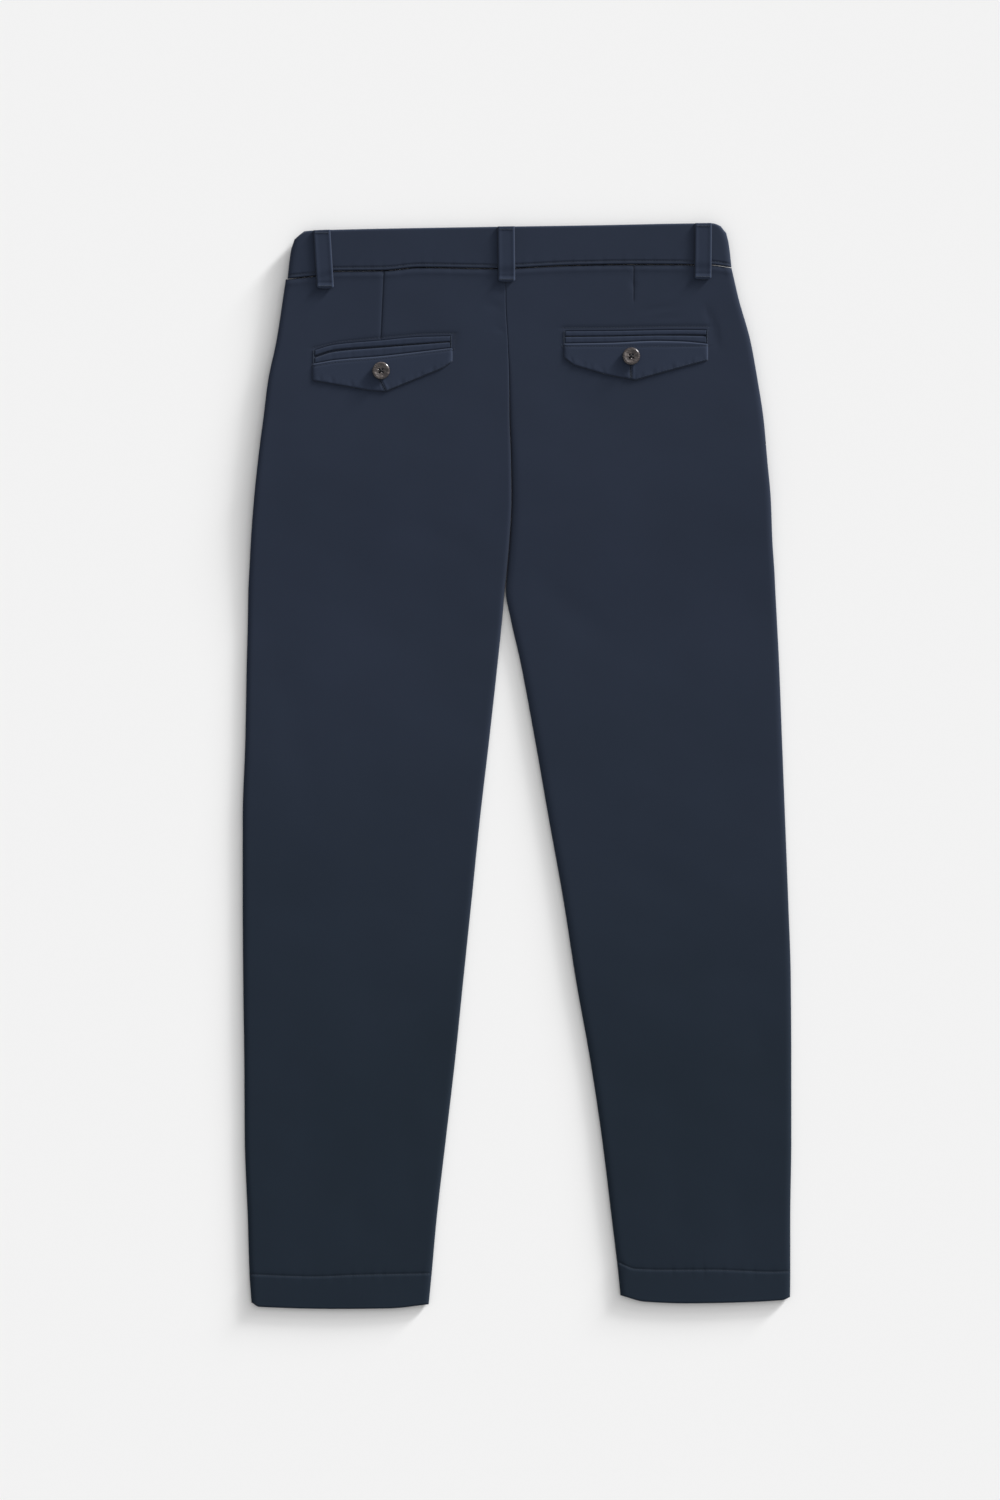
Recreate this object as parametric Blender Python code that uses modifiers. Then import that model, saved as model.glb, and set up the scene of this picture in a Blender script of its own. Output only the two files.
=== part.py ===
"""Chino trousers laid flat on their front, with the back facing up.

+Y runs from the hems to the waist, +X to the wearer's right, and +Z up from the surface that the
trousers lie on. The origin is the middle of the outline, on that surface. Sizes are in millimetres
here and become metres where a mesh or a location is made.

Each panel is a wall of cloth: a front panel lies on the surface and rolls up at its edges, and a
back panel lies over it and rolls down to meet it at the side seam and the inseam.
"""

import math
from collections import namedtuple

import bmesh
import bpy
from mathutils import Vector

MM = 0.001

# Cloth
CLOTH = 1.2  # wall of one layer of twill
BAND_CLOTH = 2.0  # the waistband's folded wall
THIN_CLOTH = 1.0  # pocket patch and fly piece, stitched down flat
SEAM_GAP = 0.3  # between two pieces, at a seam or where one lies on the other
BAND_GAP = 0.5  # between the waistband and the panels, whose walls lean towards each other
LEG_THICKNESS = 4.2  # both layers of a leg, with the air between them
BAND_PROUD = 0.6  # the waistband stands this far past the panels, on each side
JET_PROUD = 0.2  # the pocket jets stand this far past the back panel

# The seat is held off the surface by what is sewn on the front.
SEAT_LIFT = 3.5
LIFT_FROM_Y = 120.0
LIFT_TO_Y = 300.0

# Sections of the panels, from the hems to the waist seam
HEM_Y = -523.0
WAIST_Y = 482.0
HEM_FADE = 45.0  # the hem's own curve dies out over this length
WAIST_FADE = 60.0  # and the waist seam's curve over this one
ROLL_STEPS = 3
ROLL_TAIL = 0.4  # a rolled edge ends in this much straight cloth
FLAT_STEPS = 6

Section = namedtuple("Section", "y left_side left_inner right_inner right_side back_roll front_roll")

# Where the side seams and the inner edges run. The inner edges are the two inseams below the fork
# and one centre seam above it. A roll is how far an inner edge turns round to meet the other layer,
# from 0, flat, to 1, all the way.
SECTIONS = (
    Section(-523, -257.0, -86.0, 101.5, 264.5, 1.0, 1.0),
    Section(-490, -259.5, -82.5, 98.0, 265.0, 1.0, 1.0),
    Section(-440, -261.0, -78.0, 92.0, 265.0, 1.0, 1.0),
    Section(-362, -264.0, -69.0, 82.5, 266.0, 1.0, 1.0),
    Section(-285, -264.5, -60.0, 71.0, 266.0, 1.0, 1.0),
    Section(-207, -265.5, -52.0, 57.0, 265.5, 1.0, 1.0),
    Section(-130, -266.0, -44.0, 45.0, 263.0, 1.0, 1.0),
    Section(-52, -266.0, -36.0, 31.0, 260.0, 1.0, 1.0),
    Section(25, -263.5, -27.0, 17.5, 257.0, 1.0, 1.0),
    Section(103, -262.0, -18.4, 2.9, 254.0, 1.0, 1.0),
    Section(142, -261.0, -14.4, -6.0, 252.0, 1.0, 1.0),
    Section(170, -260.5, -11.9, -10.9, 250.5, 0.88, 0.84),
    Section(190, -259.5, -9.6, -9.4, 249.5, 0.7, 0.5),
    Section(219, -258.0, -7.0, -7.0, 247.5, 0.5, 0.0),
    Section(258, -255.0, -5.0, -5.0, 246.0, 0.4, 0.0),
    Section(297, -251.0, -5.5, -5.5, 242.5, 0.3, 0.0),
    Section(336, -246.0, -7.0, -7.0, 239.0, 0.2, 0.0),
    Section(375, -241.0, -7.5, -7.5, 233.0, 0.15, 0.0),
    Section(413, -233.0, -9.0, -9.0, 226.0, 0.1, 0.0),
    Section(452, -227.0, -11.0, -11.0, 215.0, 0.0, 0.0),
    Section(482, -222.5, -11.0, -11.0, 208.0, 0.0, 0.0),
)

# Edge curves, each from -X to +X
EdgePoint = namedtuple("EdgePoint", "x y")

WAIST_SEAM = (
    EdgePoint(-222, 472.0),
    EdgePoint(-195, 475.0),
    EdgePoint(-177, 479.5),
    EdgePoint(-129, 480.0),
    EdgePoint(-94, 483.0),
    EdgePoint(-21, 482.0),
    EdgePoint(51, 485.0),
    EdgePoint(110, 486.0),
    EdgePoint(188, 485.5),
    EdgePoint(207, 483.0),
)
WAIST_TOP = (
    EdgePoint(-216, 516.0),
    EdgePoint(-205, 518.5),
    EdgePoint(-167, 520.0),
    EdgePoint(-16, 522.7),
    EdgePoint(69, 524.0),
    EdgePoint(189, 526.0),
    EdgePoint(201, 521.7),
)
LEFT_HEM = (
    EdgePoint(-257, -520.0),
    EdgePoint(-250, -524.0),
    EdgePoint(-175, -526.0),
    EdgePoint(-124, -525.5),
    EdgePoint(-86, -521.6),
)
RIGHT_HEM = (
    EdgePoint(101, -513.0),
    EdgePoint(124, -519.0),
    EdgePoint(164, -520.6),
    EdgePoint(204, -520.0),
    EdgePoint(257, -517.5),
    EdgePoint(265, -514.4),
)

# The waistband's two ends, as a share of its height
BandSection = namedtuple("BandSection", "share left_side right_side")

BAND_SECTIONS = (
    BandSection(0.0, -222.3, 207.8),
    BandSection(0.35, -220.8, 206.4),
    BandSection(0.65, -218.9, 204.8),
    BandSection(0.88, -215.5, 202.5),
    BandSection(1.0, -206.0, 197.5),
)
FRONT_BAND_EDGE_X = 12.0  # where the upper waistband end covers the under one, past the fly

# Belt loops
LOOP_WIDTH = 16.5
LOOP_END_WIDTH = 11.0
LOOP_CORNER = 3.0
LOOP_STEP_LOW = 5.0  # the loop climbs onto the waistband between these distances below its seam
LOOP_STEP_HIGH = 1.0

Loop = namedtuple("Loop", "name top_x bottom_x bottom_y on_back")

LOOPS = (
    Loop("belt_loop_back_left", -189.0, -185.5, 463.0, True),
    Loop("belt_loop_back_centre", -10.5, -10.0, 469.5, True),
    Loop("belt_loop_back_right", 180.5, 180.0, 472.0, True),
    Loop("belt_loop_front_left", -96.0, -96.0, 468.0, False),
    Loop("belt_loop_front_right", 76.0, 76.0, 470.0, False),
)

# Back welt pockets: the opening that holds the two jets, and the mouth between them
PocketStation = namedtuple("PocketStation", "x top mouth bottom")

LEFT_POCKET = (
    PocketStation(-196.5, 403.5, 396.5, 390.0),
    PocketStation(-176.0, 409.0, 402.5, 393.5),
    PocketStation(-131.0, 413.2, 406.2, 397.3),
    PocketStation(-94.0, 416.5, 409.0, 401.5),
    PocketStation(-64.5, 417.2, 411.2, 405.0),
)
RIGHT_POCKET = (
    PocketStation(46.0, 422.0, 416.2, 409.4),
    PocketStation(92.0, 422.2, 416.6, 410.2),
    PocketStation(134.0, 423.0, 417.5, 412.0),
    PocketStation(160.0, 423.2, 417.6, 411.4),
    PocketStation(183.5, 423.0, 417.2, 409.4),
)

# The pointed patch sewn under each pocket
PATCH_BELOW_POCKET = 2.5
LEFT_PATCH_EDGE = (
    EdgePoint(-198.5, 373.6),
    EdgePoint(-141.5, 363.5),
    EdgePoint(-127.0, 362.6),
    EdgePoint(-104.4, 371.8),
    EdgePoint(-71.7, 385.4),
    EdgePoint(-62.5, 392.0),
)
RIGHT_PATCH_EDGE = (
    EdgePoint(45.0, 396.0),
    EdgePoint(55.3, 388.2),
    EdgePoint(86.8, 378.9),
    EdgePoint(115.0, 373.6),
    EdgePoint(142.5, 381.4),
    EdgePoint(185.0, 393.0),
)

# Buttons, turned, with four holes
BUTTON_HEIGHT = 2.5
BUTTON_STEPS = 24
HOLE_DIAMETER = 1.9
HOLE_SPACING = 3.0
HOLE_SIDES = 10

Button = namedtuple("Button", "name x y turn_deg")

POCKET_BUTTONS = (
    Button("pocket_button_left", -131.6, 383.0, 5.0),
    Button("pocket_button_right", 110.6, 397.0, 1.0),
)
WAIST_BUTTON = Button("waist_button", -3.0, 502.5, 0.0)

# Radius and height of the button's face and back, from the axis on top to the axis underneath
BUTTON_PROFILE = (
    (0.0, 1.75),
    (4.9, 1.75),
    (5.7, 2.1),
    (6.5, 2.5),
    (7.6, 2.35),
    (8.3, 1.8),
    (8.5, 1.2),
    (7.4, 0.4),
    (4.6, 0.0),
    (0.0, 0.0),
)

# Fly piece, sewn on the front beside the centre seam
FLY_WIDTH = 38.0
FLY_EDGE_X = -7.5
FLY_BOTTOM_Y = 306.0
FLY_CURVE_Y = 346.0
FLY_CURVE_STEPS = 6
FLY_BELOW_BAND = 1.5

# Slanted front pockets: the mouth runs straight from the waist seam to the side seam
FrontPocket = namedtuple("FrontPocket", "side top_x bottom_x outside_x")

FRONT_POCKET_TOP_Y = 500.0
FRONT_POCKET_BOTTOM_Y = 290.0
FRONT_POCKETS = (
    FrontPocket("left", -174.0, -262.0, -300.0),
    FrontPocket("right", 160.0, 252.0, 300.0),
)

CUTTER_DEPTH = 40.0

Finish = namedtuple("Finish", "color roughness metallic")

NAVY_TWILL = Finish((0.0242, 0.0307, 0.0497, 1.0), 0.85, 0.0)
DARK_HORN = Finish((0.035, 0.024, 0.022, 1.0), 0.25, 0.0)


def blend(low, high, share):
    return low + (high - low) * share


def clamped(share):
    return min(1.0, max(0.0, share))


def edge_y(edge, x):
    """Height of an edge curve at x, level past its ends."""
    if x <= edge[0].x:
        return edge[0].y
    for start, end in zip(edge, edge[1:]):
        if x <= end.x:
            return blend(start.y, end.y, (x - start.x) / (end.x - start.x))
    return edge[-1].y


def lift(y):
    """How far the garment is held off the surface at this height, rising smoothly to the seat."""
    share = clamped((y - LIFT_FROM_Y) / (LIFT_TO_Y - LIFT_FROM_Y))
    return SEAT_LIFT * share * share * (3 - 2 * share)


def back_face(y):
    return lift(y) + LEG_THICKNESS


def front_face(y):
    return lift(y)


def clear_scene():
    for obj in list(bpy.data.objects):
        bpy.data.objects.remove(obj, do_unlink=True)


def new_collection(name):
    collection = bpy.data.collections.new(name)
    bpy.context.scene.collection.children.link(collection)
    return collection


def new_material(name, finish):
    material = bpy.data.materials.new(name)
    material.use_nodes = True
    shader = material.node_tree.nodes["Principled BSDF"]
    shader.inputs["Base Color"].default_value = finish.color
    shader.inputs["Roughness"].default_value = finish.roughness
    shader.inputs["Metallic"].default_value = finish.metallic
    return material


class Garment:
    """Holds the collections and the empty that every piece hangs from."""

    def __init__(self, name):
        self.parts = new_collection(name)
        self.cutters = new_collection(name + "_cutters")
        self.origin = bpy.data.objects.new(name + "_origin", None)
        self.parts.objects.link(self.origin)

    def add(self, name, data, finish, location=(0.0, 0.0, 0.0)):
        obj = bpy.data.objects.new(name, data)
        data.materials.append(new_material(name, finish))
        self.parts.objects.link(obj)
        obj.parent = self.origin
        obj.location = Vector(location) * MM
        return obj

    def add_cutter(self, name, mesh, location=(0.0, 0.0, 0.0), turn=0.0):
        obj = bpy.data.objects.new(name, mesh)
        obj.hide_render = True
        obj.display_type = "WIRE"
        obj.location = Vector(location) * MM
        obj.rotation_euler.z = turn
        self.cutters.objects.link(obj)
        return obj

    def cloth_wall(self, name, rows, thickness, side):
        """A wall of cloth on a grid of points: rows run up in Y, and each row from -X to +X.

        side is 1 where the wall grows upwards from the points and -1 where it grows downwards.
        """
        across = len(rows[0]) - 1
        along = len(rows) - 1
        bm = bmesh.new()
        bmesh.ops.create_grid(bm, x_segments=across, y_segments=along, size=0.5)
        for vert in bm.verts:
            column = round((vert.co.x + 0.5) * across)
            row = round((vert.co.y + 0.5) * along)
            vert.co = Vector(rows[row][column]) * MM
        mesh = bpy.data.meshes.new(name)
        bm.to_mesh(mesh)
        bm.free()
        obj = self.add(name, mesh, NAVY_TWILL)
        wall = obj.modifiers.new("wall", "SOLIDIFY")
        wall.thickness = thickness * MM
        wall.offset = side
        return obj

    def flat_piece(self, name, outline, bottom_z, thickness):
        """A flat piece of cloth, cut to an outline of (x, y) points."""
        curve = bpy.data.curves.new(name, "CURVE")
        curve.dimensions = "2D"
        curve.fill_mode = "BOTH"
        curve.extrude = thickness / 2 * MM
        spline = curve.splines.new("POLY")
        spline.points.add(len(outline) - 1)
        for point, (x, y) in zip(spline.points, outline):
            point.co = (x * MM, y * MM, 0.0, 1.0)
        spline.use_cyclic_u = True
        return self.add(name, curve, NAVY_TWILL, (0.0, 0.0, bottom_z + thickness / 2))


def prism_mesh(name, outline):
    """A closed prism on an outline of (x, y) points, running through every layer."""
    bm = bmesh.new()
    corners = [bm.verts.new(Vector((x, y, -CUTTER_DEPTH)) * MM) for x, y in outline]
    base = bm.faces.new(corners)
    made = bmesh.ops.extrude_face_region(bm, geom=[base])
    top = [item for item in made["geom"] if isinstance(item, bmesh.types.BMVert)]
    bmesh.ops.translate(bm, verts=top, vec=Vector((0, 0, 2 * CUTTER_DEPTH)) * MM)
    bmesh.ops.recalc_face_normals(bm, faces=bm.faces)
    mesh = bpy.data.meshes.new(name)
    bm.to_mesh(mesh)
    bm.free()
    return mesh


def cut(obj, cutter, operation="DIFFERENCE"):
    boolean = obj.modifiers.new(cutter.name, "BOOLEAN")
    boolean.operation = operation
    boolean.solver = "EXACT"
    boolean.object = cutter


def rolled_edge(roll, radius):
    """Steps of a rolled edge, as (distance in from the edge, drop), from the flat to the edge.

    The edge turns through roll times a right angle and ends in a short straight tail. What the turn
    leaves of the radius stays flat.
    """
    end_angle = roll * math.pi / 2
    turned = radius * math.sin(end_angle)
    tail_in = ROLL_TAIL * math.cos(end_angle)
    height = radius - ROLL_TAIL - SEAM_GAP / 2
    steps = []
    for step in range(ROLL_STEPS + 1):
        share = step / ROLL_STEPS
        angle = share * end_angle
        inward = turned - radius * math.sin(angle) + (radius - turned) * (1 - share) + tail_in
        steps.append((inward, height * (1 - math.cos(angle))))
    steps.append((0.0, steps[-1][1] + ROLL_TAIL * math.sin(end_angle)))
    return steps


def section_points(left, right, left_roll, right_roll, radius, flats):
    """One row across a piece, as (x, drop): a rolled edge, the flat, and the other rolled edge."""
    start = [(left + inward, drop) for inward, drop in reversed(rolled_edge(left_roll, radius))]
    end = [(right - inward, drop) for inward, drop in rolled_edge(right_roll, radius)]
    return start + [(x, 0.0) for x in flats] + end


def flats_between(left, right):
    return [blend(left, right, step / FLAT_STEPS) for step in range(1, FLAT_STEPS)]


def edge_shift(x, y, hem):
    """How far the curves of the waist seam and the hem move a point of a panel along Y."""
    to_waist = clamped((y - WAIST_Y + WAIST_FADE) / WAIST_FADE)
    to_hem = clamped((HEM_Y + HEM_FADE - y) / HEM_FADE)
    return to_waist * (edge_y(WAIST_SEAM, x) - WAIST_Y) + to_hem * (edge_y(hem, x) - HEM_Y)


def panel_rows(on_left, on_back):
    """The outer surface of one panel, from the hem to the waist seam."""
    radius = LEG_THICKNESS / 2
    rows = []
    for section in SECTIONS:
        roll = section.back_roll if on_back else section.front_roll
        if on_left:
            left, right = section.left_side, section.left_inner - SEAM_GAP / 2
            rolls = (1.0, roll)
        else:
            left, right = section.right_inner + SEAM_GAP / 2, section.right_side
            rolls = (roll, 1.0)
        flats = flats_between(left + radius, right - radius)
        hem = LEFT_HEM if on_left else RIGHT_HEM
        row = []
        for x, drop in section_points(left, right, *rolls, radius, flats):
            z = back_face(section.y) - drop if on_back else front_face(section.y) + drop
            row.append((x, section.y + edge_shift(x, section.y, hem), z))
        rows.append(row)
    return rows


def band_stations():
    """The panels' own stations along the waist seam, so that the waistband's edge follows theirs."""
    waist = SECTIONS[-1]
    radius = LEG_THICKNESS / 2
    left = flats_between(waist.left_side + radius, waist.left_inner - radius)
    right = flats_between(waist.right_inner + radius, waist.right_side - radius)
    return left + [waist.left_inner - radius, waist.right_inner + radius] + right


def band_rows(on_back, start_x=None, end_x=None):
    """The outer surface of the waistband, from its seam to its top edge.

    It runs from side to side, or from start_x or to end_x where it is cut at the fly.
    """
    radius = LEG_THICKNESS / 2 + BAND_PROUD
    base = BAND_SECTIONS[0]
    stations = [x for x in band_stations() if (start_x or -math.inf) < x < (end_x or math.inf)]
    rows = []
    for section in BAND_SECTIONS:
        stretch = (section.right_side - section.left_side) / (base.right_side - base.left_side)
        left = section.left_side if start_x is None else start_x
        right = section.right_side if end_x is None else end_x
        flats = [section.left_side + (x - base.left_side) * stretch for x in stations]
        rolls = (0.0 if start_x else 1.0, 0.0 if end_x else 1.0)
        row = []
        for x, drop in section_points(left, right, *rolls, radius, flats):
            y = blend(edge_y(WAIST_SEAM, x) + BAND_GAP, edge_y(WAIST_TOP, x), section.share)
            outer = back_face(WAIST_Y) + BAND_PROUD - drop
            if not on_back:
                outer = front_face(WAIST_Y) - BAND_PROUD + drop
            row.append((x, y, outer))
        rows.append(row)
    return rows


def loop_rows(loop):
    """The face of a belt loop that lies on the garment, from its lower end to the top edge."""
    seam = edge_y(WAIST_SEAM, loop.bottom_x)
    top = edge_y(WAIST_TOP, loop.top_x)
    outward = 1 if loop.on_back else -1
    panel = back_face(WAIST_Y) if loop.on_back else front_face(WAIST_Y)
    on_panel = panel + outward * SEAM_GAP
    on_band = on_panel + outward * BAND_PROUD
    stations = (
        (loop.bottom_y, LOOP_END_WIDTH, on_panel),
        (loop.bottom_y + LOOP_CORNER, LOOP_WIDTH, on_panel),
        (seam - LOOP_STEP_LOW, LOOP_WIDTH, on_panel),
        (seam - LOOP_STEP_HIGH, LOOP_WIDTH, on_band),
        (blend(seam, top, 0.5), LOOP_WIDTH, on_band),
        (top, LOOP_WIDTH, on_band),
    )
    rows = []
    for y, width, z in stations:
        centre = blend(loop.bottom_x, loop.top_x, (y - loop.bottom_y) / (top - loop.bottom_y))
        rows.append([(centre + width * side, y, z) for side in (-0.5, 0.0, 0.5)])
    return rows


def pocket_slot(pocket):
    """The outline that the jets fill, and a seam gap round it."""
    ends = (-SEAM_GAP, *[0.0] * (len(pocket) - 2), SEAM_GAP)
    upper = [(p.x + end, p.top + SEAM_GAP) for p, end in zip(pocket, ends)]
    lower = [(p.x + end, p.bottom - SEAM_GAP) for p, end in zip(pocket, ends)]
    return upper + lower[::-1]


def add_panels(garment):
    for side, on_left in (("left", True), ("right", False)):
        garment.cloth_wall(f"back_{side}", panel_rows(on_left, True), CLOTH, -1)
        garment.cloth_wall(f"front_{side}", panel_rows(on_left, False), CLOTH, 1)


def add_waistband(garment):
    garment.cloth_wall("waistband_back", band_rows(True), BAND_CLOTH, -1)
    halves = (
        ("waistband_front_left", None, FRONT_BAND_EDGE_X),
        ("waistband_front_right", FRONT_BAND_EDGE_X + SEAM_GAP, None),
    )
    for name, start_x, end_x in halves:
        garment.cloth_wall(name, band_rows(False, start_x, end_x), BAND_CLOTH, 1)


def add_belt_loops(garment):
    for loop in LOOPS:
        garment.cloth_wall(loop.name, loop_rows(loop), CLOTH, 1 if loop.on_back else -1)


def add_front_pockets(garment):
    """Cuts the corner off each front panel and fills it with the facing of the same shape."""
    for pocket in FRONT_POCKETS:
        outward = math.copysign(SEAM_GAP, pocket.outside_x)
        facing_outline = (
            (pocket.outside_x, FRONT_POCKET_TOP_Y),
            (pocket.top_x, FRONT_POCKET_TOP_Y),
            (pocket.bottom_x, FRONT_POCKET_BOTTOM_Y),
            (pocket.outside_x, FRONT_POCKET_BOTTOM_Y),
        )
        corner_outline = [(x - outward, y) for x, y in facing_outline]
        facing_cutter = garment.add_cutter(
            f"facing_cutter_{pocket.side}", prism_mesh("facing_cutter", facing_outline)
        )
        corner_cutter = garment.add_cutter(
            f"corner_cutter_{pocket.side}", prism_mesh("corner_cutter", corner_outline)
        )
        facing = garment.cloth_wall(
            f"front_pocket_facing_{pocket.side}",
            panel_rows(pocket.side == "left", False),
            CLOTH,
            1,
        )
        cut(facing, facing_cutter, "INTERSECT")
        cut(bpy.data.objects[f"front_{pocket.side}"], corner_cutter)


def add_back_pockets(garment):
    """Cuts the opening in each back panel, fills it with two jets and sews the patch below."""
    panel_z = back_face(WAIST_Y)
    for side, pocket, patch_edge in (
        ("left", LEFT_POCKET, LEFT_PATCH_EDGE),
        ("right", RIGHT_POCKET, RIGHT_PATCH_EDGE),
    ):
        slot = garment.add_cutter(
            f"pocket_cutter_{side}", prism_mesh("pocket_cutter", pocket_slot(pocket))
        )
        cut(bpy.data.objects[f"back_{side}"], slot)
        jet_z = panel_z + JET_PROUD - CLOTH
        top = [(p.x, p.top) for p in pocket]
        mouth = [(p.x, p.mouth) for p in pocket]
        under_mouth = [(x, y - SEAM_GAP) for x, y in mouth]
        bottom = [(p.x, p.bottom) for p in pocket]
        garment.flat_piece(f"pocket_jet_upper_{side}", top + mouth[::-1], jet_z, CLOTH)
        garment.flat_piece(f"pocket_jet_lower_{side}", under_mouth + bottom[::-1], jet_z, CLOTH)
        patch_top = [(p.x, p.bottom - PATCH_BELOW_POCKET) for p in pocket]
        garment.flat_piece(
            f"pocket_patch_{side}",
            patch_top + [(point.x, point.y) for point in reversed(patch_edge)],
            panel_z + SEAM_GAP,
            THIN_CLOTH,
        )


def add_fly(garment):
    """A J-shaped piece beside the centre seam: straight down, then a quarter round to the seam."""
    inner_x = FLY_EDGE_X - FLY_WIDTH
    outline = [
        (FLY_EDGE_X, edge_y(WAIST_SEAM, FLY_EDGE_X) - FLY_BELOW_BAND),
        (inner_x, edge_y(WAIST_SEAM, inner_x) - FLY_BELOW_BAND),
    ]
    for step in range(FLY_CURVE_STEPS + 1):
        angle = step / FLY_CURVE_STEPS * math.pi / 2
        x = FLY_EDGE_X - FLY_WIDTH * math.cos(angle)
        y = FLY_CURVE_Y - (FLY_CURVE_Y - FLY_BOTTOM_Y) * math.sin(angle)
        outline.append((x, y))
    bottom_z = front_face(WAIST_Y) - SEAM_GAP - THIN_CLOTH
    garment.flat_piece("fly", outline, bottom_z, THIN_CLOTH)


def button_mesh():
    """Half a turned profile in the XZ plane, for a Screw to spin."""
    bm = bmesh.new()
    points = [bm.verts.new(Vector((radius, 0, height)) * MM) for radius, height in BUTTON_PROFILE]
    for start, end in zip(points, points[1:]):
        bm.edges.new((start, end))
    mesh = bpy.data.meshes.new("button")
    bm.to_mesh(mesh)
    bm.free()
    return mesh


def button_holes_mesh():
    """Four upright drills on the corners of a square."""
    bm = bmesh.new()
    for across in (-0.5, 0.5):
        for along in (-0.5, 0.5):
            made = bmesh.ops.create_cone(
                bm,
                cap_ends=True,
                segments=HOLE_SIDES,
                radius1=HOLE_DIAMETER / 2 * MM,
                radius2=HOLE_DIAMETER / 2 * MM,
                depth=4 * BUTTON_HEIGHT * MM,
            )
            place = Vector((across, along, 0)) * HOLE_SPACING * MM
            bmesh.ops.translate(bm, verts=made["verts"], vec=place)
    mesh = bpy.data.meshes.new("button_holes")
    bm.to_mesh(mesh)
    bm.free()
    return mesh


def add_button(garment, button, back_z, face_up):
    """A button with its flat back at back_z, facing up or down."""
    obj = garment.add(button.name, button_mesh(), DARK_HORN, (button.x, button.y, back_z))
    obj.rotation_euler.z = math.radians(button.turn_deg)
    if not face_up:
        obj.rotation_euler.x = math.pi
    turned = obj.modifiers.new("turned", "SCREW")
    turned.steps = BUTTON_STEPS
    turned.render_steps = BUTTON_STEPS
    turned.use_merge_vertices = True
    turned.merge_threshold = 0.00001
    drills = garment.add_cutter(
        f"{button.name}_drills",
        button_holes_mesh(),
        (button.x, button.y, back_z),
        math.radians(button.turn_deg),
    )
    cut(obj, drills)


def add_buttons(garment):
    on_patch = back_face(WAIST_Y) + SEAM_GAP + THIN_CLOTH + SEAM_GAP
    for button in POCKET_BUTTONS:
        add_button(garment, button, on_patch, True)
    on_band = front_face(WAIST_Y) - BAND_PROUD - SEAM_GAP
    add_button(garment, WAIST_BUTTON, on_band, False)


def main():
    clear_scene()
    garment = Garment("chino_trousers")
    add_panels(garment)
    add_waistband(garment)
    add_belt_loops(garment)
    add_front_pockets(garment)
    add_back_pockets(garment)
    add_fly(garment)
    add_buttons(garment)


main()
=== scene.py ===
"""Looks of the chino trousers, laid out flat with the back up, and of the plain stage they lie on.

Sizes in the tables are millimetres from the middle of the outline: X to the right, Y to the waist, Z up.
"""

from collections import namedtuple

import bmesh
import bpy
import numpy as np
from bpy.props import FloatProperty, FloatVectorProperty, PointerProperty
from mathutils import Matrix, Vector


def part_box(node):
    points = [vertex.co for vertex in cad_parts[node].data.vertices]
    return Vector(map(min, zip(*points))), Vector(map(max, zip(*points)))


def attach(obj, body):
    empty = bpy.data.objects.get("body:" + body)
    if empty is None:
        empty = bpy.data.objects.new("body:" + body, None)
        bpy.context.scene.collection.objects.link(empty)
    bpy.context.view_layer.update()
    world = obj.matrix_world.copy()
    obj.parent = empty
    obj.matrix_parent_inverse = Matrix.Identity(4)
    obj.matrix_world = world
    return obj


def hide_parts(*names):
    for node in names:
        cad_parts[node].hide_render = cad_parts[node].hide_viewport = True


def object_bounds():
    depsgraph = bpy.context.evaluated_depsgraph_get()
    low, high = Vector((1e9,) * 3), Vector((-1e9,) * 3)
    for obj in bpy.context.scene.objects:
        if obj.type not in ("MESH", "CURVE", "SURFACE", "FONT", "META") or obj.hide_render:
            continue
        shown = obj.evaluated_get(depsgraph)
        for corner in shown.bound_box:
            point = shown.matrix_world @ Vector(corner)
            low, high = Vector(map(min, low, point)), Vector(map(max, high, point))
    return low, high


bl_info = {
    "name": "Chino trousers",
    "version": (1, 0, 0),
    "blender": (4, 5, 0),
    "location": "View3D > Sidebar > Trousers",
    "description": "Cloth, seams, stitches and buttons of laid-out chino trousers, with their stage",
    "category": "Object",
}

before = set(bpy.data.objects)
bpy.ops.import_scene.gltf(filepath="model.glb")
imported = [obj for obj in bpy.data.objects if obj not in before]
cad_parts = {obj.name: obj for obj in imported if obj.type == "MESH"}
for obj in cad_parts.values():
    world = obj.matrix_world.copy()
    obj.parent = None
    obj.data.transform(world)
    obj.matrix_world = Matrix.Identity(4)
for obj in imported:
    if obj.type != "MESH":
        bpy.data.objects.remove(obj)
CAD_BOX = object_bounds()
BODY = "root"
MM = 0.001

# --- Outline of the garment -------------------------------------------------

Section = namedtuple("Section", "y left_side left_inner right_inner right_side")
SECTIONS = [
    Section(-526, -257, -86, 101.5, 264.5),
    Section(-490, -259.5, -82.5, 98, 265),
    Section(-440, -261, -78, 92, 265),
    Section(-362, -264, -69, 82.5, 266),
    Section(-285, -264.5, -60, 71, 266),
    Section(-207, -265.5, -52, 57, 265.5),
    Section(-130, -266, -44, 45, 263),
    Section(-52, -266, -36, 31, 260),
    Section(25, -263.5, -27, 17.5, 257),
    Section(103, -262, -18.4, 2.9, 254),
    Section(142, -261, -14.4, -6, 252),
    Section(170, -260.5, -11.9, -10.9, 250.5),
    Section(190, -259.5, -9.6, -9.4, 249.5),
    Section(219, -258, -7.1, -6.9, 247.5),
    Section(258, -255, -5.1, -4.9, 246),
    Section(297, -251, -5.6, -5.4, 242.5),
    Section(336, -246, -7.1, -6.9, 239),
    Section(375, -241, -7.6, -7.4, 233),
    Section(413, -233, -9.1, -8.9, 226),
    Section(452, -227, -11.1, -10.9, 215),
    Section(482, -222.5, -11.1, -10.9, 208),
]
LEFT_HEM = [(-257, -520), (-250, -524), (-175, -526), (-124, -525.5), (-86, -521.6)]
RIGHT_HEM = [
    (101, -513),
    (124, -519),
    (164, -520.6),
    (204, -520),
    (257, -517.5),
    (265, -514.4),
]
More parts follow.
